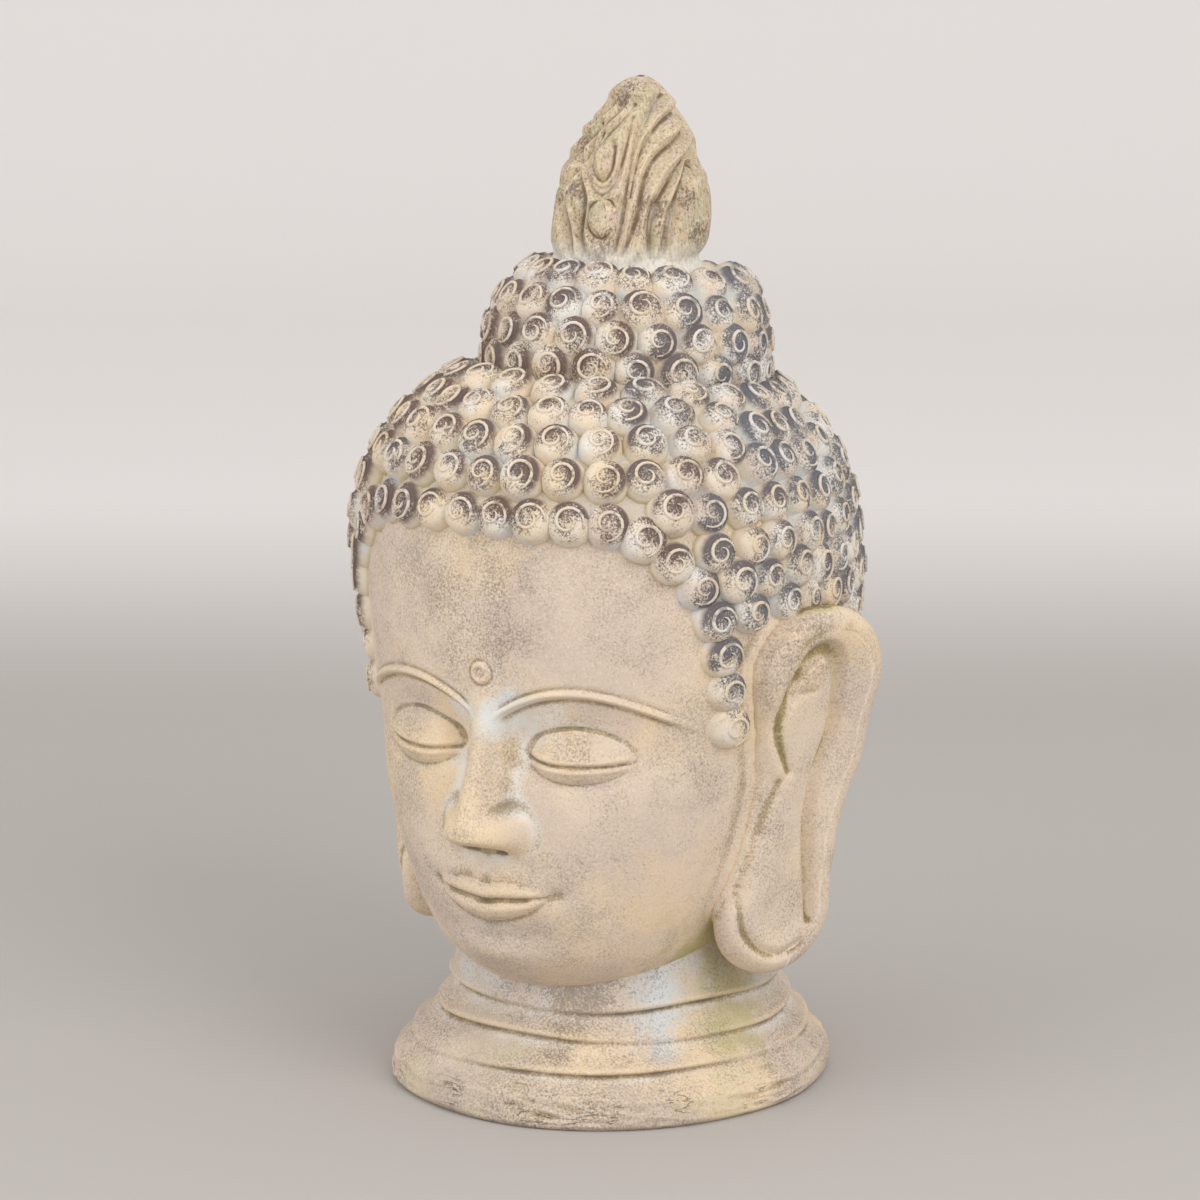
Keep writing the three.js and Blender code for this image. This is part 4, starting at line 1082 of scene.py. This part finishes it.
def neck_finish():
    """Greyer than the face, with a bluish wash under the chin, brown grain on the folds and a cracked rim."""
    paint = Finish("washed resin, neck and foot", NECK_CREAM)
    washed_ground(paint, 1.5)
    paint.lay(PALE_OLIVE, paint.between(paint.noise(0.05, shift=8.0), 0.54, 0.66, 0, 0.35))
    high = height_mask(paint, 44, 74)
    cloudy = paint.noise(0.045, 5.0, 0.6, shift=6.0)
    paint.lay(GREY_CREAM, high, 0.7)
    paint.lay(BLUE_WASH, high, paint.between(cloudy, 0.5, 0.64, 0, 0.5))
    # Olive painted shade in the corner under the lobe, at the top of the neck.
    paint.lay(OLIVE, stain_and_shade_patch(paint, (92, -18, 66), 40), 0.6)
    paint.lay(BLUE_WASH, stain_and_shade_patch(paint, (72, -62, 66), 30), 0.9)
    under_chin = paint.times(stain_and_shade_patch(paint, (34, -88, 66), 52), 0.26)
    rubbed = paint.plus(under_chin, paint.times(high, 0.05), paint.times(cloudy, 0.5))
    paint.lay(UMBER, speckled(paint, rubbed, 0.0014, 0.84, 1.12), 0.5)
    cracks = paint.noise(0.016, 3.0, 0.55, shift=3.0, stretch=(0.7, 0.7, 4.5))
    line = paint.between(paint.maths("ABSOLUTE", paint.maths("SUBTRACT", cracks, 0.5)), 0.022, 0.0)
    here_and_there = paint.between(paint.noise(0.035, 2.0, shift=1.0), 0.52, 0.64)
    broken = paint.times(line, here_and_there, height_mask(paint, 24, 15))
    paint.lay(UMBER, broken, 0.35)
    # Pale wash in the hollows, painted shade in the fold lines and cuts, and a painted highlight on the fold
    # ridges.
    washed_hollows_and_painted_shade(paint, 0.55)
    paint.relief(paint.maths("SUBTRACT", 1.0, broken), 0.002, 0.8)
    grained(paint, 1.3)
    return paint.done()


# Brown stains on the flame: turn in degrees from the front, share of the height, reach in millimetres
FLAME_STAINS = (
    (38, 0.27, 15), (46, 0.36, 12), (84, 0.2, 13), (76, 0.4, 11), (0, 0.2, 16), (-38, 0.66, 15),
    (-20, 0.47, 10), (8, 0.95, 10), (-6, 0.88, 8), (-52, 0.4, 12),
)


def flame_finish():
    """Cream, pink and olive mottling, brown stains low down, brown in the cuts that is partly stain and
    partly painted shade, and a white wash at its foot.
    """
    paint = Finish("washed resin, stained flame", FLAME_GROUND)
    paint.lay(FLAME_CREAM, paint.between(paint.noise(0.03, 3.0), 0.42, 0.58))
    paint.lay(FLAME_OLIVE, paint.between(paint.noise(0.02, 4.0, 0.6, shift=6.0), 0.48, 0.62, 0, 0.85))
    paint.lay(FLAME_PINK, paint.between(paint.noise(0.014, 4.0, 0.6, shift=3.0), 0.5, 0.62, 0, 0.8))
    brushed = paint.noise(0.0028, 4.0, 0.7, shift=4.4, stretch=(1.4, 1.4, 0.55))
    paint.lay(FLAME_TAN, paint.between(brushed, 0.5, 0.68, 0, 0.6))
    paint.lay(PALE_WASH, paint.between(brushed, 0.46, 0.34, 0, 0.45))
    stains = 0.0
    for turn, share, reach in FLAME_STAINS:
        radius, z, a = bud_at(share), KNOT_TOP_Z + share * FLAME_HEIGHT, math.radians(turn)
        place = (radius * math.sin(a), knot_axis(z) - radius * math.cos(a), z)
        stains = paint.maths("MAXIMUM", stain_and_shade_patch(paint, place, reach), stains)
    rubbed = paint.plus(paint.times(brushed, 0.6), paint.times(stains, 0.22))
    paint.lay(PLUM_BROWN, speckled(paint, rubbed, 0.0016, 0.82, 1.1), 0.75)
    # Pale wash in the hollows, painted shade in the cuts and a painted highlight on the ridges.
    washed_hollows_and_painted_shade(paint, 0.5)
    # Brown laid in the cuts below, broken into patches: partly stain, partly painted shade.
    patchy = paint.between(paint.noise(0.012, 4.0, 0.6, shift=1.5), 0.36, 0.58, 0.2, 0.9)
    paint.lay(FLAME_BROWN, paint.between(paint.attribute("crease"), 0.1, 0.7), patchy)
    foot = height_mask(paint, KNOT_TOP_Z + 0.22 * FLAME_HEIGHT, KNOT_TOP_Z + 0.05 * FLAME_HEIGHT)
    paint.lay(PALE_WASH, foot, paint.between(brushed, 0.35, 0.6, 0.95, 0.6))
    grained(paint)
    return paint.done()


def curl_finish():
    """Dark domes worn through in specks, a rubbed cream spiral, pale sides, and wash in the gaps between."""
    paint = Finish("washed resin, dark curls", CREAM)
    local = paint.parts(paint.attribute("curl_local", "Vector"))
    up = local["Z"]
    flat = paint.add("ShaderNodeCombineXYZ", {"X": local["X"], "Y": local["Y"]}).outputs[0]
    out = paint.vectors("LENGTH", flat)
    tone, raised = paint.attribute("curl_tone"), paint.attribute("raised")
    place = paint.parts(paint.places)
    rightward = paint.plus(place["X"], place["Y"])
    washed_ground(paint)
    paint.lay(PALE_WASH, paint.between(paint.noise(0.02, shift=4.0), 0.4, 0.6, 0.1, 0.7))
    patches = paint.plus(paint.noise(0.03, 3.0, shift=9.0), paint.between(rightward, -0.15, 0.2, -0.06, 0.08))
    patches = paint.maths("SUBTRACT", patches, paint.times(height_mask(paint, 300, 260), 0.12))
    paint.lay(BLUE_WASH, paint.between(up, 6.5, 0.0), paint.between(patches, 0.42, 0.58, 0.1, 0.9))
    paint.lay(CURL_CREAM, paint.between(patches, 0.56, 0.42, 0, 0.5))
    paint.lay(OLIVE, paint.between(up, 1.5, -1.5), paint.between(patches, 0.54, 0.42, 0, 0.6))
    by_chance = paint.between(tone, 0, 1, -0.25, 0.25)
    cool = paint.maths("ADD", paint.between(rightward, -0.08, 0.16), by_chance, clamp=True)
    shade = paint.mixed(cool, PLUM_BROWN, SLATE)
    patchy = paint.plus(
        paint.times(paint.noise(0.012, 4.0, 0.6), 0.9),
        paint.vectors("DOT_PRODUCT", flat, (-0.008, 0.017, 0)),
        paint.between(tone, 0, 1, -0.075, 0.045),
        paint.between(rightward, -0.1, 0.16, -0.02, 0.025),
        paint.times(height_mask(paint, 290, 250), -0.12),
    )
    on_dome = paint.times(paint.between(up, 0.8, 4.6), paint.between(out, 13.0, 10.6))
    cover = paint.times(speckled(paint, patchy, 0.0012, 0.72, 1.04), on_dome)
    bare = paint.between(paint.noise(0.006, 2.0), 0.38, 0.52, 0.3, 0.9)
    rubbed = paint.times(paint.between(raised, 0.3, 0.85), bare)
    paint.lay(shade, cover, paint.maths("SUBTRACT", 0.95, rubbed))
    grained(paint)
    return paint.done()


# Stage, lights and camera
TARGET = Vector((0, 0, 0.3))
CAMERA_TURN, CAMERA_RISE, CAMERA_REACH = 32, 11.8, 2.95
LENS, SENSOR = 148.1, 36
SHIFT = (-0.0083, -0.015)


def aimed_at_head(name, data, turn, rise, reach):
    """A lamp or camera that looks at the head from a turn and a rise in degrees."""
    back = Vector(aimed(math.radians(turn), math.radians(rise)))
    made = bpy.data.objects.new(name, data)
    made.location = TARGET + back * reach
    made.rotation_mode = "QUATERNION"
    made.rotation_quaternion = back.to_track_quat("Z", "Y")
    bpy.context.scene.collection.objects.link(made)
    return made


def floor_and_wall():
    """A floor that curves up into a wall behind the head and grows paler towards it."""
    back, side, bend, height = 4.2, 12.0, 1.2, 6.0
    outline = [(-12.0, 0.0)] + [
        (back - bend + bend * math.sin(t), bend - bend * math.cos(t)) for t in np.linspace(0, math.pi / 2, 16)
    ] + [(back, height)]
    places = [(x, y, z) for y, z in outline for x in (-side, side)]
    faces = [(i, i + 1, i + 3, i + 2) for i in range(0, 2 * len(outline) - 2, 2)]
    turned = Matrix.Rotation(math.radians(CAMERA_TURN), 3, "Z")
    floor = add_piece("floor_and_wall", [turned @ Vector(place) for place in places], faces)
    paint = Finish("pale floor and wall", FLOOR_GREY)
    behind = paint.vectors("DOT_PRODUCT", paint.places, turned @ Vector((0, 1, 0)))
    paint.lay(WALL_WHITE, paint.between(behind, 0.9, 1.9))
    floor.data.materials.append(paint.done(0.9))


def soft_light(name, turn, rise, reach, size, power, colour):
    lamp = bpy.data.lights.new(name, "AREA")
    lamp.shape, lamp.size, lamp.energy, lamp.color = "DISK", size, power, colour
    aimed_at_head(name, lamp, turn, rise, reach)


def lights():
    soft_light("window", 66, 34, 2.6, 1.6, 27, (1.0, 0.99, 0.972))
    soft_light("fill", -28, 20, 2.8, 2.4, 22, (0.98, 0.985, 1.0))
    world = bpy.data.worlds.new("pale room")
    world.use_nodes = True
    sky = world.node_tree.nodes["Background"].inputs
    sky["Color"].default_value = (1.0, 0.995, 0.985, 1)
    sky["Strength"].default_value = 0.83
    bpy.context.scene.world = world


def camera():
    lens = bpy.data.cameras.new("camera")
    lens.lens, lens.sensor_width = LENS, SENSOR
    lens.shift_x, lens.shift_y = SHIFT
    bpy.context.scene.camera = aimed_at_head("camera", lens, CAMERA_TURN, CAMERA_RISE, CAMERA_REACH)


def build():
    camera()
    skin, ear, flame, dark_curls = skin_finish(), ear_finish(), flame_finish(), curl_finish()
    pieces = [(head_skin(), skin), (neck_skin(), neck_finish()), (ear_skin("ear_left", 1), ear)]
    pieces += [(ear_skin("ear_right", -1), ear), (knot_skin(), skin), (flame_skin(), flame)]
    pieces.append((curls(dark_curls), None))
    for piece, finish in pieces:
        if finish:
            piece.data.materials.append(finish)
        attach(piece, "root")
        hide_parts(CASTING)
    floor_and_wall()
    lights()
    bpy.context.scene.view_settings.view_transform = "Standard"


build()
